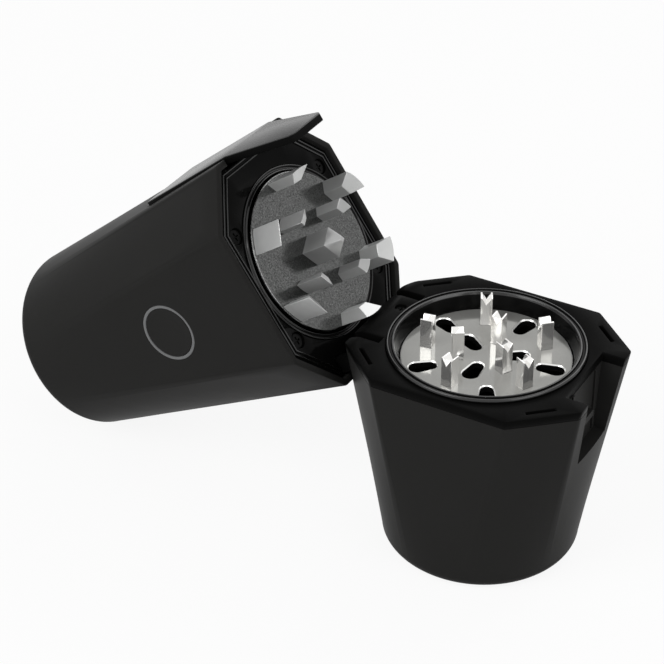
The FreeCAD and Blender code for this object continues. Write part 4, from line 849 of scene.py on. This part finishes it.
only()
bpy.ops.mesh.primitive_cylinder_add(vertices=BUTTON_SIDES, radius=BUTTON_RADIUS, depth=BUTTON_THICK,
                                    location=(0, BUTTON_THICK / 2 - BUTTON_FACE, BUTTON_UP),
                                    rotation=(math.pi / 2, 0, 0))
button = begin("dished_button")
choose("FACE", lambda face: face.normal.y > FACING)
bpy.ops.mesh.extrude_region_move(TRANSFORM_OT_translate={"value": (0, 0, 0)})
wider = 1 + FLANGE_WIDTH / BUTTON_RADIUS
bpy.ops.transform.resize(value=(wider, 1, wider),
                         center_override=(0, BUTTON_THICK - BUTTON_FACE, BUTTON_UP))
bpy.ops.mesh.extrude_region_move(TRANSFORM_OT_translate={"value": (0, FLANGE_THICK, 0)})
choose("FACE", lambda face: face.normal.y < -FACING and middle(face).y < TOUCH - BUTTON_FACE)
for width, depth in zip(DISH_WIDTHS, DISH_DEPTHS):
    bpy.ops.mesh.inset(thickness=width)
    bpy.ops.transform.translate(value=(0, depth, 0))
choose("EDGE", lambda edge: all(corner.co.y < TOUCH - BUTTON_FACE for corner in edge.verts)
       and sharp(edge, degrees=60))
ease(BUTTON_ROUND, steps=3)
dress(done(button, HOUSING), "button", "button_black", button_black, "button_cap")
print("button faces:", len(button.data.polygons))

# %% [markdown]
# ## Screws
# The face plate, the hinge arms and the hinge block are held by small black cross-head screws, sunk in
# their holes. A cylinder becomes the head, its lower face is inset and drawn down into the shank, and two
# crossed bars are cut out of its top. One function makes a screw of any size, standing on its shank, and
# each place gets a copy.

# %% Cross-head screws
SCREW_SIDES = 48
# Shares of the head's height and radius
HEAD_ROUND, CROSS_DEEP = 0.25, 0.9
CROSS_LONG, CROSS_WIDE = 1.1, 0.24


def screw(head, tall, shank, length):
    """A screw along Z with the top of its head at the origin."""
    only()
    bpy.ops.mesh.primitive_cylinder_add(vertices=SCREW_SIDES, radius=head, depth=tall,
                                        location=(0, 0, -tall / 2))
    piece = begin("screw")
    choose("FACE", lambda face: face.normal.z < -FACING)
    bpy.ops.mesh.inset(thickness=head - shank)
    bpy.ops.mesh.extrude_region_move(TRANSFORM_OT_translate={"value": (0, 0, -length)})
    choose("EDGE", lambda edge: all(corner.co.z > -TOUCH for corner in edge.verts))
    ease(HEAD_ROUND * tall, steps=3)
    for turn in (0, math.pi / 2):
        only()
        bpy.ops.mesh.primitive_cube_add(size=1, location=(0, 0, 0), rotation=(0, 0, turn),
                                        scale=(CROSS_LONG * head, CROSS_WIDE * head, CROSS_DEEP * tall))
        take_out(piece, [done(bpy.context.object)])
    return done(piece)


def set_screws(node, body, size, places):
    """Put a copy of one screw at each place, given as matrices, in place of a CAD node."""
    model = screw(**size)
    for i, place in enumerate(places):
        dress(copied(model, f"{node}_{i + 1}", place), body, "screw_black", screw_black, node)
    bpy.data.objects.remove(model, do_unlink=True)
    print(node, "made:", len(places))


# %% Screws in their places
CUP_HEIGHT, HINGE_BACK = 62.5 * MM, 30.3 * MM
FACE_SCREW = {"head": 2.2 * MM, "tall": 1.0 * MM, "shank": 1.25 * MM, "length": 9.6 * MM}
FACE_SCREW_X, FACE_SCREW_Y = 16.4 * MM, 21.8 * MM
FACE_SINK, FACE_SCREW_SINK = 1.2 * MM, 0.6 * MM
ARM_SCREW = {"head": 1.5 * MM, "tall": 0.56 * MM, "shank": 0.8 * MM, "length": 4.4 * MM}
ARM_SCREW_Y, ARM_SCREW_SINK = 7.5 * MM, 0.64 * MM
HINGE_SCREW = {"head": 1.6 * MM, "tall": 1.0 * MM, "shank": 0.8 * MM, "length": 3.3 * MM}
HINGE_SCREW_IN, HINGE_SCREW_Y, HINGE_SCREW_SINK = 1.6 * MM, 4.9 * MM, 0.7 * MM
FACING_OUT = Matrix.Rotation(math.pi, 4, "X")


def on_face(x, y, z):
    """A place on the housing's face, turned so that a screw's head looks out of it."""
    return HOUSING @ Matrix.Translation((x, y, z)) @ FACING_OUT


set_screws("face_screws", "lid", FACE_SCREW, [on_face(x, y, FACE_SINK + FACE_SCREW_SINK)
                                              for x in (FACE_SCREW_X, -FACE_SCREW_X)
                                              for y in (FACE_SCREW_Y, -FACE_SCREW_Y)])
set_screws("arm_screws", "lid", ARM_SCREW, [on_face(-HINGE_BACK, y, ARM_SCREW_SINK)
                                            for y in (ARM_SCREW_Y, -ARM_SCREW_Y)])
hinge_place = (HINGE_SCREW_IN - HINGE_BACK, HINGE_SCREW_Y, CUP_HEIGHT - HINGE_SCREW_SINK)
set_screws("hinge_screw", "cup", HINGE_SCREW, [Matrix.Translation(hinge_place)])

# %% [markdown]
# ## Face lips
# Two thin raised lips run round the housing's face, side by side with its eight-cornered edge, and catch
# the light. Each starts as a flat eight-cornered face whose corners are pulled to their places. An inset
# leaves a narrow band, which is raised and eased along its top.

# %% Face lips
FACE_SIDE, FACE_END, FACE_SLANT = 32.68 * MM, 27.02 * MM, 32.8 * MM
# The way that the slanted sides look
SLANT_X, SLANT_Y = 0.661, 0.7504
LIP_WIDE, LIP_TALL, LIP_ROUND = 0.5 * MM, 0.3 * MM, 0.12 * MM
LIP_INSETS = {"face_lip_outer": 0.8 * MM, "face_lip_inner": 2.0 * MM}
FACE_CORNERS = 8
HALF_SIDE = math.pi / FACE_CORNERS


def face_lip(name, inset):
    """A raised band round the housing's face, at an even distance in from its edge."""
    side, end, slant = FACE_SIDE - inset, FACE_END - inset, FACE_SLANT - inset
    side_y = (slant - SLANT_X * side) / SLANT_Y
    end_x = (slant - SLANT_Y * end) / SLANT_X
    far, near = math.cos(HALF_SIDE), math.sin(HALF_SIDE)
    only()
    bpy.ops.mesh.primitive_circle_add(vertices=FACE_CORNERS, radius=1, fill_type="NGON",
                                      rotation=(0, 0, HALF_SIDE))
    lip = begin(name)
    choose("VERT", lambda corner: abs(corner.co.x) > abs(corner.co.y))
    bpy.ops.transform.resize(value=(side / far, side_y / near, 1), center_override=(0, 0, 0))
    choose("VERT", lambda corner: abs(corner.co.x) < abs(corner.co.y))
    bpy.ops.transform.resize(value=(end_x / near, end / far, 1), center_override=(0, 0, 0))
    bpy.ops.mesh.select_all(action="SELECT")
    bpy.ops.mesh.inset(thickness=LIP_WIDE)
    bpy.ops.mesh.delete(type="FACE")
    bpy.ops.mesh.select_all(action="SELECT")
    bpy.ops.mesh.extrude_region_move(TRANSFORM_OT_translate={"value": (0, 0, -LIP_TALL)})
    bpy.ops.mesh.select_all(action="SELECT")
    bpy.ops.mesh.normals_make_consistent(inside=False)
    choose("EDGE", lambda edge: sharp(edge, degrees=60) and middle(edge).z < TOUCH - LIP_TALL)
    ease(LIP_ROUND)
    dress(done(lip, HOUSING @ Matrix.Translation((0, 0, FACE_SINK))), "lid", "gloss_black", gloss_trim)
    print(name, "faces:", len(lip.data.polygons))


for name, inset in LIP_INSETS.items():
    face_lip(name, inset)

# %% [markdown]
# ## Foot pad
# A soft pad under the cup keeps it from sliding. Its underside has ring grooves. The lower face of a disc
# is inset four times for each: for the land before the groove, for its first side, which lifts the face,
# for its floor, and for its second side, which lowers the face again.

# %% Grooved foot pad
FOOT_RADIUS, FOOT_THICK, FOOT_ROUND = 24.0 * MM, 1.2 * MM, 0.3 * MM
FOOT_SIDES, GROOVES = 128, 4
LAND_WIDE, GROOVE_WIDE = 2.2 * MM, 1.4 * MM
GROOVE_SIDE, GROOVE_DEEP = 0.3 * MM, 0.4 * MM
GROOVE_STEPS = ((LAND_WIDE, 0), (GROOVE_SIDE, GROOVE_DEEP), (GROOVE_WIDE, 0), (GROOVE_SIDE, -GROOVE_DEEP))

only()
bpy.ops.mesh.primitive_cylinder_add(vertices=FOOT_SIDES, radius=FOOT_RADIUS, depth=FOOT_THICK,
                                    location=(0, 0, FOOT_THICK / 2))
foot = begin("grooved_foot")
choose("EDGE", lambda edge: all(corner.co.z < TOUCH for corner in edge.verts))
ease(FOOT_ROUND)
choose("FACE", lambda face: face.normal.z < -FACING)
for i in range(GROOVES):
    for width, lift in GROOVE_STEPS:
        bpy.ops.mesh.inset(thickness=width)
        bpy.ops.transform.translate(value=(0, 0, lift))
dress(done(foot), "cup", "soft_black", soft_rubber, "foot_pad")
print("foot faces:", len(foot.data.polygons))

# %% [markdown]
# ## Charging socket
# The socket in the hinge side of the housing is a thin pressed-steel mouth with a tongue inside. A
# block's front face is inset, pushed in to make the mouth, and the mouth's corners are rounded. The
# tongue is added in edit mode.

# %% Socket
SOCKET_UP, SOCKET_FACE, SOCKET_DEEP = 60.0 * MM, 29.995 * MM, 7.4 * MM
SOCKET_WIDE, SOCKET_TALL, SOCKET_WALL = 9.0 * MM, 3.3 * MM, 0.35 * MM
MOUTH_DEEP, MOUTH_ROUND = 5.4 * MM, 1.1 * MM
TONGUE_WIDE, TONGUE_TALL = 6.6 * MM, 0.7 * MM

only()
bpy.ops.mesh.primitive_cube_add(size=1, location=(SOCKET_DEEP / 2 - SOCKET_FACE, 0, SOCKET_UP),
                                scale=(SOCKET_DEEP, SOCKET_WIDE, SOCKET_TALL))
socket = begin("pressed_socket")
choose("FACE", lambda face: face.normal.x < -FACING)
bpy.ops.mesh.inset(thickness=SOCKET_WALL)
bpy.ops.mesh.extrude_region_move(TRANSFORM_OT_translate={"value": (MOUTH_DEEP, 0, 0)})
choose("EDGE", lambda edge: abs(edge.verts[0].co.x - edge.verts[1].co.x) > MOUTH_DEEP - TOUCH
       and abs(middle(edge).y) < SOCKET_WIDE / 2 - TOUCH)
ease(MOUTH_ROUND, steps=5)
bpy.ops.mesh.primitive_cube_add(size=1, scale=(MOUTH_DEEP, TONGUE_WIDE, TONGUE_TALL),
                                location=(MOUTH_DEEP / 2 + SOCKET_WALL - SOCKET_FACE, 0, SOCKET_UP))
dress(done(socket, HOUSING), "lid", "steel", steel, "charging_socket")
print("socket faces:", len(socket.data.polygons))
